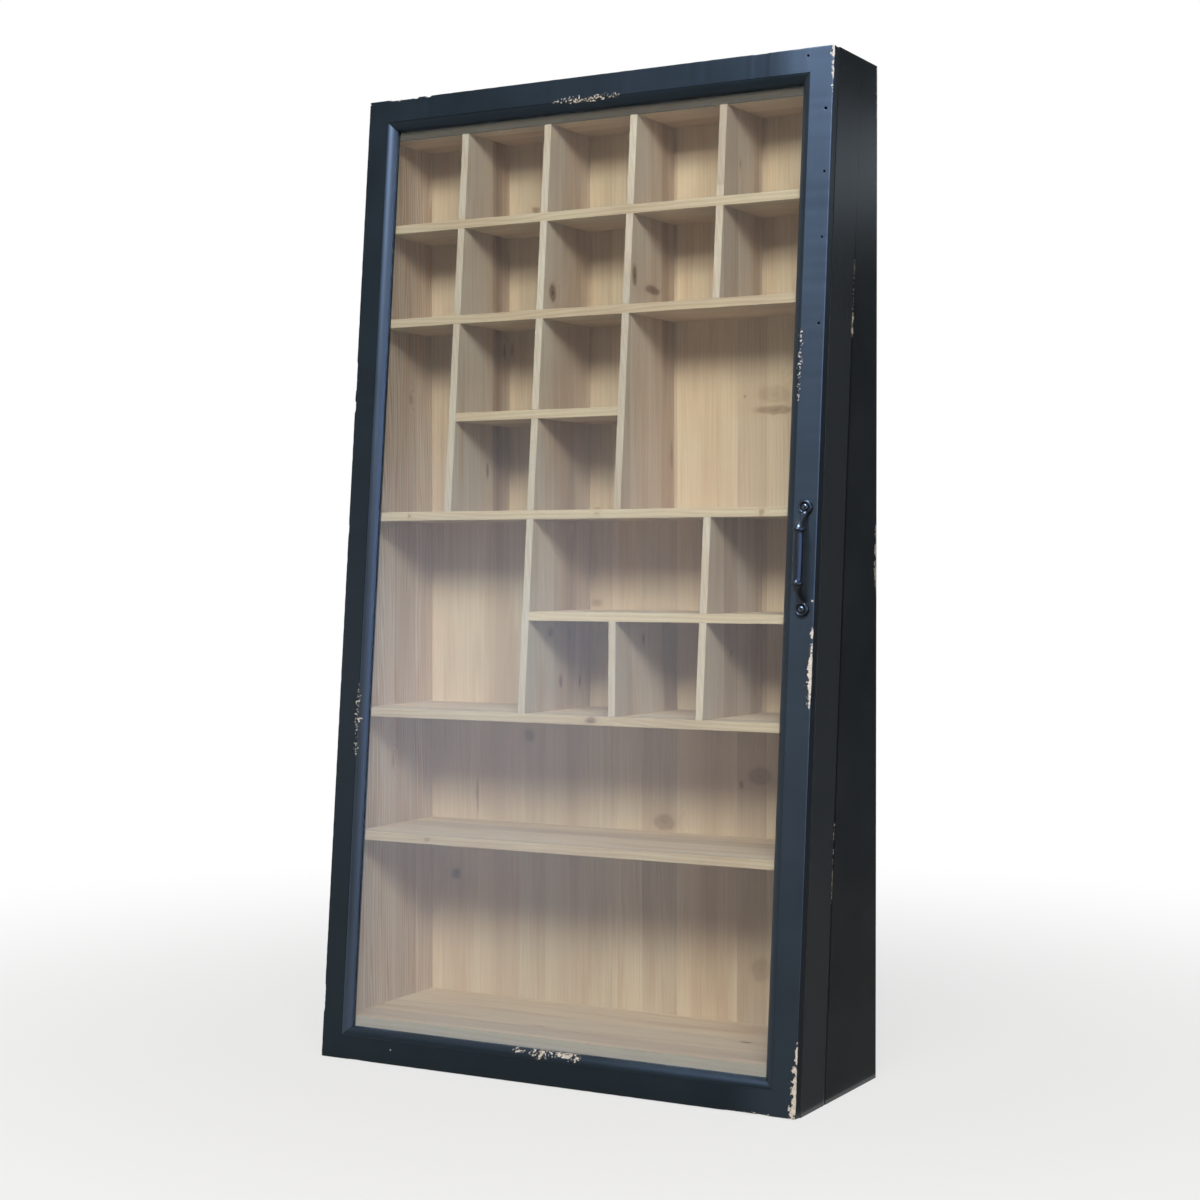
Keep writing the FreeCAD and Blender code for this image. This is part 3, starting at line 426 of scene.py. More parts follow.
def painted_case(name, finish, run, seam_stops, rear_stops, knots=()):
    """Satin paint outside, greyed by dust; bare fir on the inner walls of the sides and on rear edges."""
    material, add, output, place = fresh_material(name)
    axes = add("SeparateXYZ", (place,)).node.outputs
    colour, rough, height = paint_figure(add, finish, axes, run, finish.paint_dusty, 0.22, 0.3)
    length = (0.0, HEIGHT)
    seam = add("Math", (axes[Z], -SLOPE, SEAM_FOOT), "MULTIPLY_ADD")
    seam = add("Math", (axes[Y], seam), "ADD")
    # The front stave of a side has gone greyer with handling; near the top its joint is closed
    if run == Z:
        below = add("MapRange", (axes[Z], 860 * MM, 740 * MM))
        fore = add("MapRange", (seam, 0, -2 * MM, 0, 0.8))
        fore = add("Math", (fore, below), "MULTIPLY")
        colour = add("Mix", {0: fore, 6: colour, 7: opaque(finish.paint_dusty)}, **TINTED)
    seam = add("Math", (seam,), "ABSOLUTE")
    bare = chipped(add, axes, seam, Z, length, seam_stops, 1.5 * MM)
    rear = add("Math", (axes[Y],), "ABSOLUTE")
    rear_bare = chipped(add, axes, rear, Z, length, rear_stops, 3 * MM)
    bare = add("Math", (bare, rear_bare), "MAXIMUM")
    groove = None
    if run == Z:
        groove = add("MapRange", (seam, 2.3 * MM, 1.3 * MM))
        groove = add("Math", (groove, below), "MULTIPLY")
        groove = add("Math", (groove, bare), "SUBTRACT", use_clamp=True)
    colour, rough, height = chipped_paint(add, finish, colour, rough, height, bare, groove)
    # Bare faces: the inner walls of the sides, and every rear edge
    wall = add("Math", (axes[X],), "ABSOLUTE")
    bare_to = INNER_WALL + 0.2 * MM if run == Z else -1.0
    inside = add("MapRange", (wall, bare_to + 0.2 * MM, bare_to))
    # The paint runs over the ends of the sides, as far as the boards between them
    from_middle = add("Math", (axes[Z], HEIGHT / 2), "SUBTRACT")
    from_middle = add("Math", (from_middle,), "ABSOLUTE")
    within = add("MapRange", (from_middle, HEIGHT / 2 - 5 * MM, HEIGHT / 2 - 6 * MM))
    inside = add("Math", (inside, within), "MULTIPLY")
    behind = add("MapRange", (axes[Y], -0.6 * MM, -0.3 * MM))
    open_wood = add("Math", (inside, behind), "MAXIMUM")
    wood, wood_rough, wood_height = fir_figure(add, finish, axes, run, Y, 3.3, knots, lines=0.6,
                                                early=finish.grey_wood)
    colour = add("Mix", {0: open_wood, 6: colour, 7: wood}, **TINTED)
    rough = add("Mix", {0: open_wood, 2: rough, 3: wood_rough})
    height = add("Mix", {0: open_wood, 2: height, 3: wood_height})
    close_material(add, output, colour, rough, height, 0.15, {"Specular IOR Level": 0.2})
    return material


def speckled(name, colour, rough_low, rough_high, grain, constants):
    """Plain hard material with a fine speckle in its roughness and a little unevenness."""
    material, add, output, place = fresh_material(name)
    speck = add("TexNoise", {"Vector": place, "Scale": 1 / grain, "Detail": 4.0, "Roughness": 0.65})
    rough = add("MapRange", (speck, 0.3, 0.7, rough_low, rough_high))
    bright = add("MapRange", (speck, 0.3, 0.7, 0.8, 1.15))
    shade = add("HueSaturation", {"Value": bright, "Color": opaque(colour)})
    close_material(add, output, shade, rough, speck, 0.2, constants)
    return material


def dress(thing, material):
    """Give an object one material in all its slots."""
    if not thing.material_slots:
        thing.data.materials.append(material)
    for place in thing.material_slots:
        place.material = material


def ease(thing, width):
    """Round the arrises of a board a little."""
    joined = thing.modifiers.new("Joined", "WELD")
    joined.merge_threshold = 0.001 * MM
    eased = thing.modifiers.new("Eased arrises", "BEVEL")
    eased.width = width
    eased.segments = 2
    eased.limit_method = "ANGLE"
    eased.angle_limit = math.radians(40)


def finish_mesh(bm, name, place, body, smooth_angle=40):
    """Turn a bmesh into an object of the scene that rides on a body."""
    bmesh.ops.transform(bm, matrix=place, verts=bm.verts)
    bmesh.ops.recalc_face_normals(bm, faces=bm.faces)
    mesh = bpy.data.meshes.new(name)
    bm.to_mesh(mesh)
    bm.free()
    mesh.shade_smooth()
    mesh.set_sharp_from_angle(angle=math.radians(smooth_angle))
    thing = bpy.data.objects.new(name, mesh)
    bpy.context.scene.collection.objects.link(thing)
    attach(thing, body)
    return thing


def edges_along(bm, axis, least):
    """Edges that reach further than a length along an axis."""
    return [edge for edge in bm.edges if abs((edge.verts[0].co - edge.verts[1].co)[axis]) > least]


def rounded(bm, edges, width, segments):
    """Round edges off."""
    bmesh.ops.bevel(bm, geom=edges, offset=width, offset_type="OFFSET", segments=segments, profile=0.5,
                    affect="EDGES", material=-1)


def worn_bar(name, low, high, run, outer, edges, nicks):
    """Bar of the door, eased and uneven on its outer side; nicks are from, to and depth in millimetres."""
    bm = bmesh.new()
    bmesh.ops.create_cube(bm, size=1.0)
    size = Vector(high) - Vector(low)
    middle = (Vector(high) + Vector(low)) / 2
    bmesh.ops.scale(bm, vec=size, verts=bm.verts)
    bmesh.ops.translate(bm, vec=middle, verts=bm.verts)
    across = X + Z - run

    def on_outer(vert):
        return (vert.co[across] - middle[across]) * outer > 0

    ends_eased = run == Z
    eased = [edge for edge in bm.edges if all(on_outer(vert) for vert in edge.verts)
             or (ends_eased and any(on_outer(vert) for vert in edge.verts))]
    if not ends_eased:
        eased = [edge for edge in edges_along(bm, run, size[run] / 2) if edge in eased]
    rounded(bm, eased, edges.frame_ease, 3)
    cuts = round(size[run] / edges.frame_step)
    bmesh.ops.subdivide_edges(bm, edges=edges_along(bm, run, size[run] / 2), cuts=cuts, use_grid_fill=True)
    # Wear is kept to the outer edge, and nicks slope in from their ends over some millimetres
    edge_from, nick_end = 0.85, 1.5
    for vert in bm.verts:
        out = (vert.co[across] - middle[across]) * outer / (size[across] / 2)
        deep = (vert.co[Y] - middle[Y]) / (size[Y] / 2)
        at = vert.co[run] / MM
        shake = 0.5 + 0.5 * noise.noise(Vector((at / 9, 5 * outer, 3 * math.copysign(1, deep))))
        inward = edges.frame_wear * shake * shake
        for start, end, depth in nicks:
            if start < at < end:
                ragged = 0.6 + 0.4 * noise.noise(Vector((at / 1.7, 2, 0)))
                inward += depth * MM * ragged * min(1, (at - start) / nick_end, (end - at) / nick_end)
        if out > edge_from:
            vert.co[across] -= outer * inward
            if abs(deep) > edge_from:
                vert.co[Y] -= math.copysign(min(inward, edges.frame_wear), deep)
    return finish_mesh(bm, name, DOOR, "door", 12)


class CABINET_OT_bare_boards(bpy.types.Operator):
    """Finish the back, shelves, dividers, ceiling and floor as bare fir"""

    bl_idname = "cabinet.bare_boards"
    bl_label = "Bare Boards"

    # Knots and stripes: two coordinates, half width, half length in millimetres, and how dark
    BACK_KNOTS = ((-114, 890, 5, 4, 0.6), (71, 880, 6, 3.5, 0.5), (164, 667, 24, 4.5, 0.55),
                  (164, 683, 20, 10, 0.25), (131, 682.5, 1.6, 1.6, 0.6), (-122, 327.5, 7, 8, 0.6),
                  (-188, 259.5, 1.6, 20, 0.55), (40, 243.5, 15, 9, 0.5), (148, 296.5, 15, 10, 0.45),
                  (128, 286.5, 2.5, 4, 0.5), (-215, 172.5, 7, 6, 0.75), (150, 99.5, 13, 13, 0.3),
                  (124.5, 368, 2.5, 6, 0.5), (-40, 470.5, 7, 5, 0.4), (-40, 569.5, 4, 3, 0.4),
                  (-67, 500, 13, 400, 0.12), (-144, 742.5, 2.5, 8, 0.4), (-160, 300, 9, 300, 0.1),
                  (95, 300, 12, 260, 0.1), (-96, 880, 10, 60, 0.15))
    DIVIDER_KNOTS = {
        1: ((-63, 611, 3, 8, 0.7), (-28, 739.5, 3.5, 9, 0.6), (-42, 800, 11, 4000, 0.62),
            (-28, 800, 5, 4000, 0.16)),
        2: ((-97.5, 790.5, 8, 10, 1.0), (-101, 442, 6, 6, 0.75), (-61, 438.5, 3.5, 9, 0.7),
            (-80, 389.5, 4, 8, 0.75), (-40, 387.5, 2.5, 8, 0.7), (-58, 500, 13, 160, 0.3),
            (-45, 850, 9, 170, 0.22)),
        3: ((-106, 800.5, 5, 11, 0.95), (-66, 789.5, 17, 5, 0.9), (-88, 437, 3, 6, 0.6),
            (-23, 624, 3, 16, 0.45), (-38, 830, 9, 160, 0.24)),
        4: ((-90, 424, 2, 5, 0.4), (-70, 908, 2, 5, 0.4), (-30, 800, 8, 160, 0.24)),
    }
    SHELF_KNOTS = {
        4: ((204, 561, 3, 4, 0.55), (-198, 562, 2, 2.5, 0.55), (24.5, 561.5, 3, 2, 0.4)),
        6: ((28, 357, 7, 3.5, 0.85),),
        7: ((-157, 229.5, 4, 2, 0.5),),
    }
    FLOOR_MARKS = ((171, -100, 7, 2.5, 0.8), (-42, -135, 9, 2, 0.4))

    def execute(self, context):
        finish = context.scene.cabinet_finish
        ease_width = context.scene.cabinet_edges.board_ease
        back = bare_fir("planed_fir_back", finish, Z, X, 0.4, self.BACK_KNOTS, lines=0.14)
        dress(NODES["back_panel"], back)
        for name, thing in NODES.items():
            if name.startswith("divider_"):
                column = int(name.split("_")[1])
                label = f"planed_fir_divider_{column}"
                board = bpy.data.materials.get(label)
                if board is None:
                    board = bare_fir(label, finish, Z, Y, 1.7 * column, self.DIVIDER_KNOTS[column],
                                     lines=0.2, early=finish.grey_wood)
                dress(thing, board)
                ease(thing, ease_width)
            elif name.startswith("shelf_"):
                count = int(name.split("_")[1])
                edge_knots = self.SHELF_KNOTS.get(count, ())
                board = bare_fir(f"planed_fir_{name}", finish, X, Y, 0.9 * count, edge_knots, (X, Z))
                dress(thing, board)
                ease(thing, ease_width)
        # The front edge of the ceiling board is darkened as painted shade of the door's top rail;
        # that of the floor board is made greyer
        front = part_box("ceiling_board")[0].y
        low_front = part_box("floor_board")[0].y
        edge_bands = {"ceiling_board": (Y, front + 3 * MM, front + 2.4 * MM, linear("#312c26"), 0.92),
                  "floor_board": (Y, low_front + 3 * MM, low_front + 2.4 * MM, linear("#8f8c87"), 0.6)}
        for name, seed, marks in (("ceiling_board", 5.2, ()), ("floor_board", 8.6, self.FLOOR_MARKS)):
            board = bare_fir(f"planed_fir_{name}", finish, X, Y, seed, marks, (X, Y), edge_band=edge_bands[name])
            dress(NODES[name], board)
            ease(NODES[name], ease_width)
        return {"FINISHED"}


class CABINET_OT_painted_case(bpy.types.Operator):
    """Paint the sides, top and bottom black outside and leave them bare inside"""

    bl_idname = "cabinet.painted_case"
    bl_label = "Painted Case"

    SEAM_RIGHT = ((0, 0.0), (184, 0.0), (194, 0.2), (244, 0.14), (262, 0.22), (268, 0.0), (729, 0.0),
                  (735, 0.3), (755, 0.26), (759, 0.05), (765, 0.16), (803, 0.13), (809, 0.0), (1005, 0.0))
    REAR_RIGHT = ((0, 0.05), (60, 0.0), (476, 0.0), (490, 0.6), (544, 0.65), (560, 0.0), (900, 0.0),
                  (1005, 0.4))
    SEAM_LEFT = ((0, 0.0), (120, 0.08), (150, 0.0), (610, 0.0), (640, 0.1), (660, 0.0), (1005, 0.0))
    REAR_LEFT = ((0, 0.2), (40, 0.0), (300, 0.0), (330, 0.25), (380, 0.0), (820, 0.0), (850, 0.2),
                 (1005, 0.1))

    def execute(self, context):
        finish = context.scene.cabinet_finish
        width = context.scene.cabinet_edges.case_ease
        wall_knots = ((-60, 690, 3, 7, 0.4), (-95, 300, 4, 8, 0.4))
        right = painted_case("painted_fir_right_side", finish, Z, self.SEAM_RIGHT, self.REAR_RIGHT,
                             wall_knots)
        left = painted_case("painted_fir_left_side", finish, Z, self.SEAM_LEFT, self.REAR_LEFT,
                            wall_knots)
        ends = painted_case("painted_fir_ends", finish, X, ((0, 0.0), (1005, 0.0)),
                            ((0, 0.1), (1005, 0.1)))
        for side, material in (("left", left), ("right", right)):
            for stave in ("front", "rear"):
                thing = NODES[f"side_{side}_{stave}_stave"]
                dress(thing, material)
                ease(thing, width)
        for name in ("top_board", "bottom_board"):
            dress(NODES[name], ends)
            ease(NODES[name], width)
        return {"FINISHED"}


class CABINET_OT_door_frame(bpy.types.Operator):
    """Model the worn stiles and rails of the door"""

    bl_idname = "cabinet.door_frame"
    bl_label = "Door Frame"

    # Bare width in centimetres at places along each arris, in millimetres
    RIGHT_OUTER = ((0, 0.8), (25, 0.75), (48, 0.5), (66, 0.28), (74, 0.05), (77, 0.0), (374, 0.0),
                   (377, 0.4), (398, 0.6), (414, 0.75), (428, 0.45), (442, 0.3), (450, 0.5), (456, 0.0),
                   (472, 0.0), (478, 0.12), (484, 0.0), (952, 0.0), (962, 0.28), (990, 0.32), (1005, 0.4))
    RIGHT_INNER = ((0, 0.0), (664, 0.0), (672, 0.22), (694, 0.3), (706, 0.35), (715, 0.22), (731, 0.35),
                   (737, 0.0), (1005, 0.0))
    LEFT_OUTER = ((0, 0.2), (20, 0.0), (44, 0.0), (56, 0.2), (74, 0.0), (664, 0.0), (684, 0.2),
                  (704, 0.1), (726, 0.15), (734, 0.0), (970, 0.0), (990, 0.2), (1005, 0.3))
    LEFT_INNER = ((0, 0.0), (312, 0.0), (320, 0.45), (326, 0.25), (342, 0.25), (350, 0.5), (356, 0.25),
                  (377, 0.32), (388, 0.0), (1005, 0.0))
    TOP_OUTER = ((-266, 0.3), (-242, 0.28), (-212, 0.32), (-207, 0.0), (-198, 0.0), (-192, 0.2),
                 (-186, 0.0), (168, 0.0), (188, 0.18), (202, 0.0), (250, 0.1), (266, 0.2))
    TOP_INNER = ((-266, 0.0), (-42, 0.0), (-34, 0.34), (-14, 0.45), (-2, 0.26), (12, 0.42), (32, 0.34),
                 (38, 0.0), (266, 0.0))
    BOTTOM_OUTER = ((-266, 0.15), (-242, 0.1), (-222, 0.0), (168, 0.0), (193, 0.16), (223, 0.3),
                    (248, 0.25), (266, 0.5))
    BOTTOM_INNER = ((-266, 0.0), (-40, 0.0), (-34, 0.36), (-20, 0.05), (-14, 0.5), (2, 0.55), (8, 0.3),
                    (22, 0.6), (35, 0.55), (41, 0.0), (266, 0.0))
    NAIL_HOLES = ((239.5, 1000, 1.7), (259.5, 947, 2.0), (260.5, 886, 1.6), (260.5, 823, 1.5),
                  (260.5, 740.5, 1.7))

    def execute(self, context):
        finish = context.scene.cabinet_finish
        edges = context.scene.cabinet_edges
        top = DOOR_LENGTH
        inner_top = DOOR_LENGTH - FRAME_WIDTH
        thick = DOOR_THICKNESS
        # Name, two corners, run, arrises, flecks, holes and nicks of each bar
        bars = (
            ("stile_right", (SIGHT, 0, 0), (HALF, thick, top), Z,
             [(HALF, 3.0, 2 * MM, self.RIGHT_OUTER), (SIGHT, 1.0, 8 * MM, self.RIGHT_INNER)],
             ((264.5, 478, 1.2),), self.NAIL_HOLES, ((376, 456, 0.3), (0, 44, 0.4))),
            ("stile_left", (-HALF, 0, 0), (-SIGHT, thick, top), Z,
             [(-HALF, 3.0, 4 * MM, self.LEFT_OUTER), (-SIGHT, 1.0, 8 * MM, self.LEFT_INNER)],
             (), (), ((674, 686, 1.3), (696, 728, 0.8), (46, 74, 1.1), (544, 554, 0.5))),
            ("rail_top", (-SIGHT, 0, inner_top), (SIGHT, thick, top), X,
             [(top, 3.0, 4 * MM, self.TOP_OUTER), (inner_top, 1.0, 8 * MM, self.TOP_INNER)],
             (), self.NAIL_HOLES[:1],
             ((-211.5, -205.5, 3.2), (-195.5, -188.5, 2.6), (-240, -211.5, 1.6), (182, 198, 0.6))),
            ("rail_bottom", (-SIGHT, 0, 0), (SIGHT, thick, FRAME_WIDTH), X,
             [(0.0, 3.0, 4 * MM, self.BOTTOM_OUTER)],
             ((-181, 15, 0.8),), (), ((194, 238, 0.7), (-232, -216, 0.5))),
        )
        for name, low, high, run, arrises, flecks, holes, nicks in bars:
            outer = 1 if name in ("stile_right", "rail_top") else -1
            bar = worn_bar(name, low, high, run, outer, edges, nicks)
            node = f"door_{name}"
            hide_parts(node)
            paint = painted_bar(f"painted_fir_{name}", finish, run, arrises, flecks, holes)
            dress(bar, paint)
        return {"FINISHED"}


class CABINET_OT_sight_mouldings(bpy.types.Operator):
    """Model the mitred quarter rounds beside the glass"""

    bl_idname = "cabinet.sight_mouldings"
    bl_label = "Sight Mouldings"

    def moulding(self, name, length, turn, edges):
        """One quarter round along z, its heel at the origin, mitred at both ends, then turned into place."""
        step = edges.moulding_step
        radius = edges.moulding_radius
        wide = radius + edges.lip_width
        deep = step + radius
        bm = bmesh.new()
        outline = ((0, step), (radius, step), (radius, deep), (wide, deep),
                   (wide, deep + edges.lip_thickness), (0, deep + edges.lip_thickness))
        foot = [bm.verts.new((x, y, 0)) for x, y in outline]
        face = bmesh.ops.contextual_create(bm, geom=foot)["faces"]
        grown = bmesh.ops.extrude_face_region(bm, geom=face)["geom"]
        head = [item for item in grown if isinstance(item, bmesh.types.BMVert)]
        bmesh.ops.translate(bm, vec=(0, 0, length), verts=head)

        def along_at(x, y):
            """Edges along the strip at one corner of its outline."""
            corner = Vector((x, y))
            return [edge for edge in edges_along(bm, Z, length / 2)
                    if all(abs(gap) < 0.1 * MM for gap in edge.verts[0].co.xy - corner)]

        # The round stops just short of the lip, whose edge is only eased
        round_share, lip_ease = 0.985, 0.4 * MM
        rounded(bm, along_at(radius, step), radius * round_share, 14)
        rounded(bm, along_at(wide, deep), lip_ease, 2)
        for place, normal in (((0, 0, 0), (1, 0, -1)), ((0, 0, length), (1, 0, 1))):
            everything = list(bm.verts) + list(bm.edges) + list(bm.faces)
            cut = bmesh.ops.bisect_plane(bm, geom=everything, plane_co=place, plane_no=normal,
                                         clear_outer=True)
            rim = [item for item in cut["geom_cut"] if isinstance(item, bmesh.types.BMEdge)]
            bmesh.ops.contextual_create(bm, geom=rim)
        return finish_mesh(bm, name, DOOR @ turn, "door", 30)

    def execute(self, context):
        finish = context.scene.cabinet_finish
        edges = context.scene.cabinet_edges
        frame_set = CABINET_OT_door_frame
        tall = DOOR_LENGTH - 2 * FRAME_WIDTH
        wide = 2 * SIGHT
        inner_top = DOOR_LENGTH - FRAME_WIDTH
        # Chips lie at the heel of a moulding, and at the bottom one on its round
        on_round = FRAME_WIDTH + edges.moulding_radius
        sides = (
            ("left", tall, (-SIGHT, 0, FRAME_WIDTH), 0, Z,
             (-SIGHT, 0.6, 8 * MM, frame_set.LEFT_INNER), 0.42),
            ("right", tall, (SIGHT, 0, inner_top), math.pi, Z,
             (SIGHT, 0.6, 8 * MM, frame_set.RIGHT_INNER), 0.2),
            ("top", wide, (-SIGHT, 0, inner_top), math.pi / 2, X,
             (inner_top, 0.6, 8 * MM, frame_set.TOP_INNER), 0.1),
            ("bottom", wide, (SIGHT, 0, FRAME_WIDTH), -math.pi / 2, X,
             (on_round, 0.0, 5 * MM, frame_set.BOTTOM_INNER), 0.13),
        )
        for side, length, place, angle, run, arris, gloss in sides:
            turn = Matrix.Translation(place) @ Matrix.Rotation(angle, 4, "Y")
            strip = self.moulding(f"moulding_{side}", length, turn, edges)
            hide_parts(f"door_moulding_{side}")
            paint = painted_bar(f"painted_moulding_{side}", finish, run, [arris], gloss=gloss)
            dress(strip, paint)
        return {"FINISHED"}


class CABINET_OT_glazing(bpy.types.Operator):
    """Finish the pane and the beads that hold it"""

    bl_idname = "cabinet.glazing"
    bl_label = "Glazing"

    def execute(self, context):
        finish = context.scene.cabinet_finish
        # Old drawn glass: clear, with slow waves in its surface
        material, add, output, place = fresh_material("drawn_window_glass")
        waves = add("TexNoise", {"Vector": place, "Scale": 1 / (120 * MM), "Detail": 1.0})
        normal = add("Bump", {"Height": waves, "Strength": 0.02, "Distance": 1.0 * MM}, out="Normal")
        glass = add("BsdfPrincipled", {"Base Color": opaque(linear("#f6faf8")), "Roughness": 0.0,
                                       "IOR": 1.5, "Transmission Weight": 1.0, "Normal": normal})
        clear = add("BsdfTransparent", {"Color": opaque(linear("#f4f8f6"))})
        ray = add("LightPath").node.outputs
        lamp = add("Math", (ray["Is Shadow Ray"], ray["Is Diffuse Ray"]), "MAXIMUM")
        surface = add("MixShader", (lamp, glass, clear))
        output.id_data.links.new(surface, output.inputs["Surface"])
        dress(NODES["glass_pane"], material)
        for name, run in (("glazing_beads_upright", Z), ("glazing_beads_level", X)):
            paint = painted_bar(f"painted_{name}", finish, run, [], gloss=0.15)
            dress(NODES[name], paint)
            ease(NODES[name], 0.3 * MM)
        return {"FINISHED"}


class CABINET_OT_pull(bpy.types.Operator):
    """Model the cast pull and its domed screws"""

    bl_idname = "cabinet.pull"
    bl_label = "Cast Pull"

    # Radius and height, in millimetres, of the turned forms: one end of the grip, an eye and a screw head
    GRIP_END = ((4.9, 0), (4.85, 8), (4.7, 15), (4.5, 20.5), (4.4, 23.2), (4.9, 23.9), (5.8, 24.3),
                (6.0, 25), (6.0, 26), (5.7, 26.8), (4.9, 27.4), (0, 27.6))
    EYE = ((7.2, 0), (7.25, 1.2), (7.1, 2.1), (6.7, 2.9), (6.1, 3.5), (5.4, 3.75), (4.7, 3.5), (4.3, 2.9),
           (4.1, 2.1), (0, 1.9))
    SCREW = ((3.5, 1.6), (3.5, 2.4), (3.3, 3.0), (2.7, 3.6), (1.7, 4.0), (0.9, 4.15), (0, 4.2))

    def turned(self, bm, profile, place, steps=36):
        """Spin a profile of radius and height about z and put it in place."""
        drawn = [bm.verts.new((radius * MM, 0, height * MM)) for radius, height in profile]
        line = [bm.edges.new(pair) for pair in zip(drawn, drawn[1:])]
        before = set(bm.verts) - set(drawn)
        bmesh.ops.spin(bm, geom=drawn + line, cent=(0, 0, 0), axis=(0, 0, 1), angle=math.tau, steps=steps,
                       use_merge=True)
        fresh = [vert for vert in bm.verts if vert not in before]
        bmesh.ops.remove_doubles(bm, verts=fresh, dist=0.01 * MM)
        fresh = [vert for vert in bm.verts if vert not in before]
        bmesh.ops.transform(bm, matrix=place, verts=fresh)

    def neck(self, bm, up, stand):
        """Curved, tapering arm from the grip down to an eye."""
        start, run, foot = 26.4 * MM, 17.1 * MM, 2.1 * MM
        thick, waist = 4.6 * MM, 1.8 * MM
        count = 14
        stations = []
        for step in range(count + 1):
            share = step / count
            fall = (1 - math.cos(math.pi * share)) / 2
            height = start + run * share
            off = stand - (stand - foot) * fall
            slope = math.atan2((stand - foot) * math.pi / 2 * math.sin(math.pi * share), run)
            radius = thick - waist * math.sin(math.pi * min(share * 0.62, 0.5))
            place = Matrix.Translation((0, -off, up * height)) @ Matrix.Rotation(-up * slope, 4, "X")
            section = (radius * 1.12, radius * (1 - 0.25 * share), radius, 1)
            stations.append(place @ Matrix.Diagonal(section))
        ring = bmesh.ops.create_circle(bm, cap_ends=True, segments=24, radius=1.0,
                                       matrix=stations[0])["verts"]
        rim = [edge for edge in bm.edges if all(vert in ring for vert in edge.verts)]
        for last, place in zip(stations, stations[1:]):
            grown = bmesh.ops.extrude_edge_only(bm, edges=rim)["geom"]
            ring = [item for item in grown if isinstance(item, bmesh.types.BMVert)]
            rim = [item for item in grown if isinstance(item, bmesh.types.BMEdge)
                   and all(vert in ring for vert in item.verts)]
            bmesh.ops.transform(bm, matrix=place @ last.inverted(), verts=ring)
        bmesh.ops.contextual_create(bm, geom=rim)

    def execute(self, context):
        finish = context.scene.cabinet_finish
        stand = 14.5 * MM
        spread = 48 * MM
        outward = Matrix.Rotation(math.pi / 2, 4, "X")
        place = DOOR @ Matrix.Translation((PULL_X, 0, PULL_Z))
        bm = bmesh.new()
        grip = [(radius, -height) for radius, height in reversed(self.GRIP_END[1:])] + list(self.GRIP_END)
        self.turned(bm, grip, Matrix.Translation((0, -stand, 0)))
        for up in (1, -1):
            self.neck(bm, up, stand)
            self.turned(bm, self.EYE, Matrix.Translation((0, 0, up * spread)) @ outward)
        pull = finish_mesh(bm, "pull", place, "door", 50)
        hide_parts("door_handle")
        # Sand cast and blacked: a fine grain breaks up its dull shine
        iron = speckled("blacked_cast_iron", finish.iron, 0.24, 0.42, 1.2 * MM,
                        {"Specular IOR Level": 0.3})
        dress(pull, iron)
        bm = bmesh.new()
        for up in (1, -1):
            self.turned(bm, self.SCREW, Matrix.Translation((0, 0, up * spread)) @ outward, 24)
        screws = finish_mesh(bm, "pull_screws", place, "door", 50)
        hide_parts("handle_screws")
        # Turned and blacked: smoother than the casting, so it shines more
        steel = speckled("blacked_steel_screw", finish.iron, 0.2, 0.35, 0.8 * MM,
                         {"Specular IOR Level": 0.6})
        dress(screws, steel)
        return {"FINISHED"}


class CABINET_OT_hardware(bpy.types.Operator):
    """Finish hinges, hangers, screws, nails, dowels, catch and pads"""

    bl_idname = "cabinet.hardware"
    bl_label = "Hardware"

    STEEL = ("case_hinge_leaves", "door_hinge_leaves", "hinge_pins", "case_hinge_screws",
             "door_hinge_screws", "hanger_plates", "hanger_screws", "strike_disc", "strike_screw",
             "back_panel_nails", "catch_magnet")

    def execute(self, context):
        finish = context.scene.cabinet_finish
        # Zinc plating: bright grey, with a faint spangle that scatters its gloss
        steel = speckled("zinc_plated_steel", finish.steel, 0.25, 0.5, 1.5 * MM, {"Metallic": 1.0})
        for name in self.STEEL:
            dress(NODES[name], steel)
        # Moulded rubber: near black and matt, with a faint sheen
        rubber = speckled("moulded_rubber", linear("#26231f"), 0.7, 0.9, 1.0 * MM,
                          {"Specular IOR Level": 0.3})
        dress(NODES["bumper_pads"], rubber)
        # Turned dowels: bare wood with its grain along them
        dowel = bare_fir("beech_dowel", finish, X, Y, 2.2)
        dress(NODES["case_dowels"], dowel)
        return {"FINISHED"}


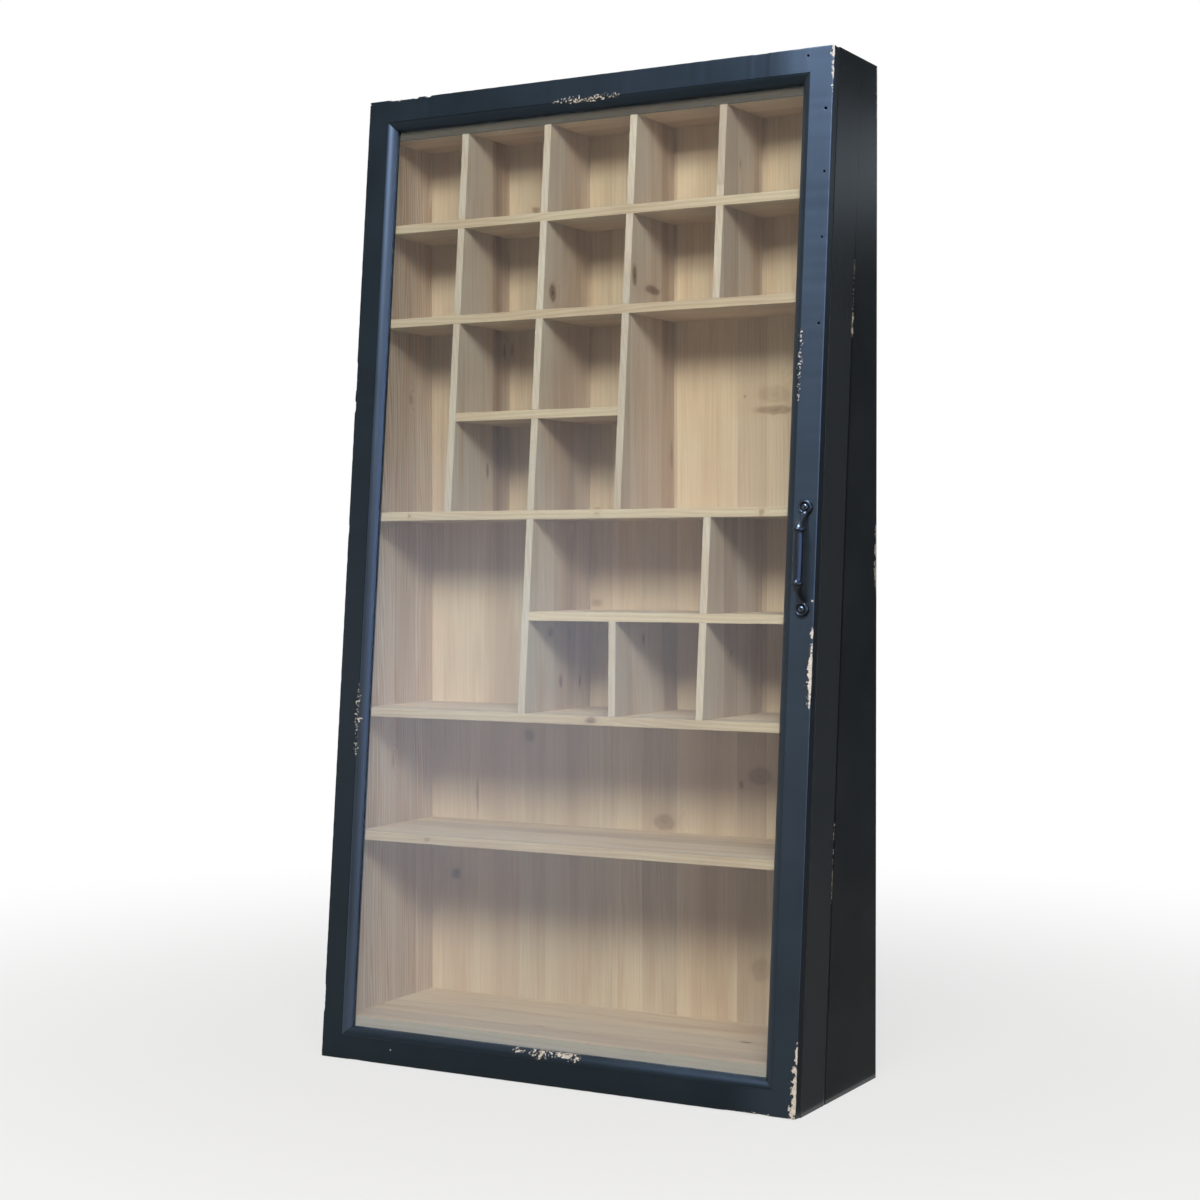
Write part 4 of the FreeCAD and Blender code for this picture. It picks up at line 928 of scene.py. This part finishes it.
class CABINET_OT_stage(bpy.types.Operator):
    """Set up the floor, the soft studio light and the camera"""

    bl_idname = "cabinet.stage"
    bl_label = "Studio Stage"

    # In metres: half the floor, its level, and that of cards that lie on it
    FLOOR_REACH = 20.0
    FLOOR_LEVEL = -0.5 * MM
    CARD_LEVEL = 1.5 * MM

    # Brightness of cards at shares of their height, and the strength of full brightness
    HAZE = ((0.0, 0.55), (0.084, 0.55), (0.3, 1.0), (0.46, 1.0), (0.56, 0.6), (0.7, 0.1), (0.8, 0.0))
    DIM = ((0.0, 0.05), (0.585, 0.02), (0.615, 0.36), (0.65, 0.36), (0.675, 0.02), (1.0, 0.01))
    DARK = ((0.0, 0.06), (1.0, 0.06))
    FULL = 3.2

    def lamp(self, name, place, target, size, power, colour):
        """Soft rectangular lamp aimed at a point."""
        data = bpy.data.lights.new(name, "AREA")
        data.shape = "RECTANGLE"
        data.size, data.size_y = size
        data.energy = power
        data.color = colour[:3]
        thing = bpy.data.objects.new(name, data)
        thing.location = place
        thing.rotation_euler = (Vector(target) - Vector(place)).to_track_quat("-Z", "Y").to_euler()
        bpy.context.scene.collection.objects.link(thing)
        return thing

    def card(self, name, low, high, material):
        """Card between two opposite corners, level or facing along y."""
        (x, y, z), (far_x, far_y, far_z) = low, high
        corners = ((x, y, z), (far_x, y, z), (far_x, far_y, far_z), (x, far_y, far_z))
        bm = bmesh.new()
        bmesh.ops.contextual_create(bm, geom=[bm.verts.new(corner) for corner in corners])
        mesh = bpy.data.meshes.new(name)
        bm.to_mesh(mesh)
        bm.free()
        thing = bpy.data.objects.new(name, mesh)
        bpy.context.scene.collection.objects.link(thing)
        thing.data.materials.append(material)
        return thing

    def glow(self, name, stops, low, high, colour, fade=None):
        """Card material whose brightness changes with height between two levels and may fade to the right."""
        material, add, output, place = fresh_material(name)
        axes = add("SeparateXYZ", (place,)).node.outputs
        share = add("MapRange", (axes[Z], low, high))
        bright = add("ValToRGB", (share,), stops=stops)
        strength = add("Math", (bright, self.FULL), "MULTIPLY")
        if fade:
            side = add("Math", (axes[Y], -0.6, axes[X]), "MULTIPLY_ADD")
            side = add("MapRange", (side, fade[0], fade[1], 1.0, 0.05), **SMOOTH)
            strength = add("Math", (strength, side), "MULTIPLY")
        shine = add("Emission", {"Color": opaque(colour), "Strength": strength})
        output.id_data.links.new(shine, output.inputs["Surface"])
        return material

    def execute(self, context):
        scene = context.scene
        stage = scene.cabinet_stage
        scene.view_settings.view_transform = "Standard"
        # World: white to the eye and in reflections, a soft even dome for the light that it gives
        world = bpy.data.worlds.new("Studio")
        scene.world = world
        world.use_nodes = True
        tree = world.node_tree
        tree.nodes.clear()
        add = partial(add_node, tree)
        seen = seen_directly(add)
        dome = add("Background", {"Color": opaque(linear("#f4f4f4")), "Strength": stage.dome})
        white = add("Background", {"Color": (1, 1, 1, 1), "Strength": 1.0})
        both = add("MixShader", (seen, dome, white))
        end = tree.nodes.new("ShaderNodeOutputWorld")
        tree.links.new(both, end.inputs["Surface"])
        # Floor: pale, fading to white away from the cabinet, and keeping its shadow
        material, add, output, place = fresh_material("pale_floor")
        away = add("VectorMath", (place,), "LENGTH", out="Value")
        lift = add("MapRange", (away, 0.2, 1.6, 0.72, 1.0), **SMOOTH)
        lift = add("Math", (lift, seen_directly(add)), "MULTIPLY")
        matt = add("BsdfDiffuse", {"Color": opaque(stage.floor)})
        white = add("Emission", {"Color": (1, 1, 1, 1), "Strength": 1.0})
        both = add("MixShader", (lift, matt, white))
        output.id_data.links.new(both, output.inputs["Surface"])
        reach, level = self.FLOOR_REACH, self.FLOOR_LEVEL
        self.card("floor", (-reach, -reach, level), (reach, reach, level), material)
        # A wide soft key from the front right and above gives the light; two cool panels only show as gloss
        key = self.lamp("key", (1.05, -2.7, 2.1), (0, -0.1, 0.5), (2.4, 0.8), stage.key,
                        linear("#fffaf3"))
        key.visible_glossy = False
        panels = (
            ("cool_upper", (0.2, -2.4, 3.3), (0.25, -0.1, 0.9), (0.9, 0.7), 950.0, linear("#a9ccff")),
            ("cool_right", (2.4, -0.9, 0.95), (-0.24, -0.15, 0.6), (3.0, 1.4), 90.0, linear("#7fabff")),
        )
        for panel in panels:
            self.lamp(*panel).visible_diffuse = False
        # Cards that only gloss sees: pale haze low in the glass, dark beside and below the right side
        haze = self.glow("haze_card", self.HAZE, -0.2, 2.2, linear("#d3e4ff"), (0.0, 1.05))
        dim = self.glow("dim_card", self.DIM, -0.3, 2.0, linear("#c8d6e4"))
        dark = self.glow("dark_card", self.DARK, 0.0, 1.0, linear("#d8d8d6"))
        level = self.CARD_LEVEL
        cards = (
            ("left_card", (-5.0, -3.2, -0.4), (0.5, -3.2, 4.5), haze),
            ("right_card", (0.3, 1.3, -0.4), (5.0, 1.3, 3.5), dim),
            ("low_card", (0.27, -0.3, level), (5.0, 1.3, level), dark),
            ("front_card", (-5.0, -3.2, level), (0.26, -0.21, level), haze),
        )
        for card in cards:
            thing = self.card(*card)
            for kind in ("camera", "diffuse", "shadow", "transmission", "volume_scatter"):
                setattr(thing, f"visible_{kind}", False)
        # Camera
        data = bpy.data.cameras.new("camera")
        data.sensor_width = 36.0
        data.lens = stage.lens
        data.shift_x, data.shift_y = stage.shift
        camera = bpy.data.objects.new("camera", data)
        camera.location = stage.camera_place
        camera.rotation_euler = (math.pi / 2 - stage.camera_dip, 0, stage.camera_turn)
        scene.collection.objects.link(camera)
        scene.camera = camera
        return {"FINISHED"}


class CABINET_PT_sidebar(bpy.types.Panel):
    """Lists the cabinet's pieces and their settings"""

    bl_idname = "CABINET_PT_sidebar"
    bl_label = "Display Cabinet"
    bl_space_type = "VIEW_3D"
    bl_region_type = "UI"
    bl_category = "Cabinet"

    def draw(self, context):
        for group in (context.scene.cabinet_finish, context.scene.cabinet_edges, context.scene.cabinet_stage):
            column = self.layout.box().column()
            for name in group.__annotations__:
                column.prop(group, name)
        for operator in OPERATORS:
            self.layout.operator(operator.bl_idname)


OPERATORS = (CABINET_OT_bare_boards, CABINET_OT_painted_case, CABINET_OT_door_frame,
             CABINET_OT_sight_mouldings, CABINET_OT_glazing, CABINET_OT_pull, CABINET_OT_hardware,
             CABINET_OT_stage)
GROUPS = {"cabinet_finish": CabinetFinish, "cabinet_edges": CabinetEdges, "cabinet_stage": CabinetStage}


def register():
    for kind in (*GROUPS.values(), *OPERATORS, CABINET_PT_sidebar):
        bpy.utils.register_class(kind)
    for name, kind in GROUPS.items():
        setattr(bpy.types.Scene, name, bpy.props.PointerProperty(type=kind))


def unregister():
    for name in GROUPS:
        delattr(bpy.types.Scene, name)
    for kind in reversed((*GROUPS.values(), *OPERATORS, CABINET_PT_sidebar)):
        bpy.utils.unregister_class(kind)


def main():
    """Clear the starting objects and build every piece."""
    for name in ("Cube", "Light", "Camera"):
        thing = bpy.data.objects.get(name)
        if thing is not None:
            bpy.data.objects.remove(thing)
    register()
    bpy.ops.cabinet.bare_boards()
    bpy.ops.cabinet.painted_case()
    bpy.ops.cabinet.door_frame()
    bpy.ops.cabinet.sight_mouldings()
    bpy.ops.cabinet.glazing()
    bpy.ops.cabinet.pull()
    bpy.ops.cabinet.hardware()
    bpy.ops.cabinet.stage()


if __name__ == "__main__":
    main()
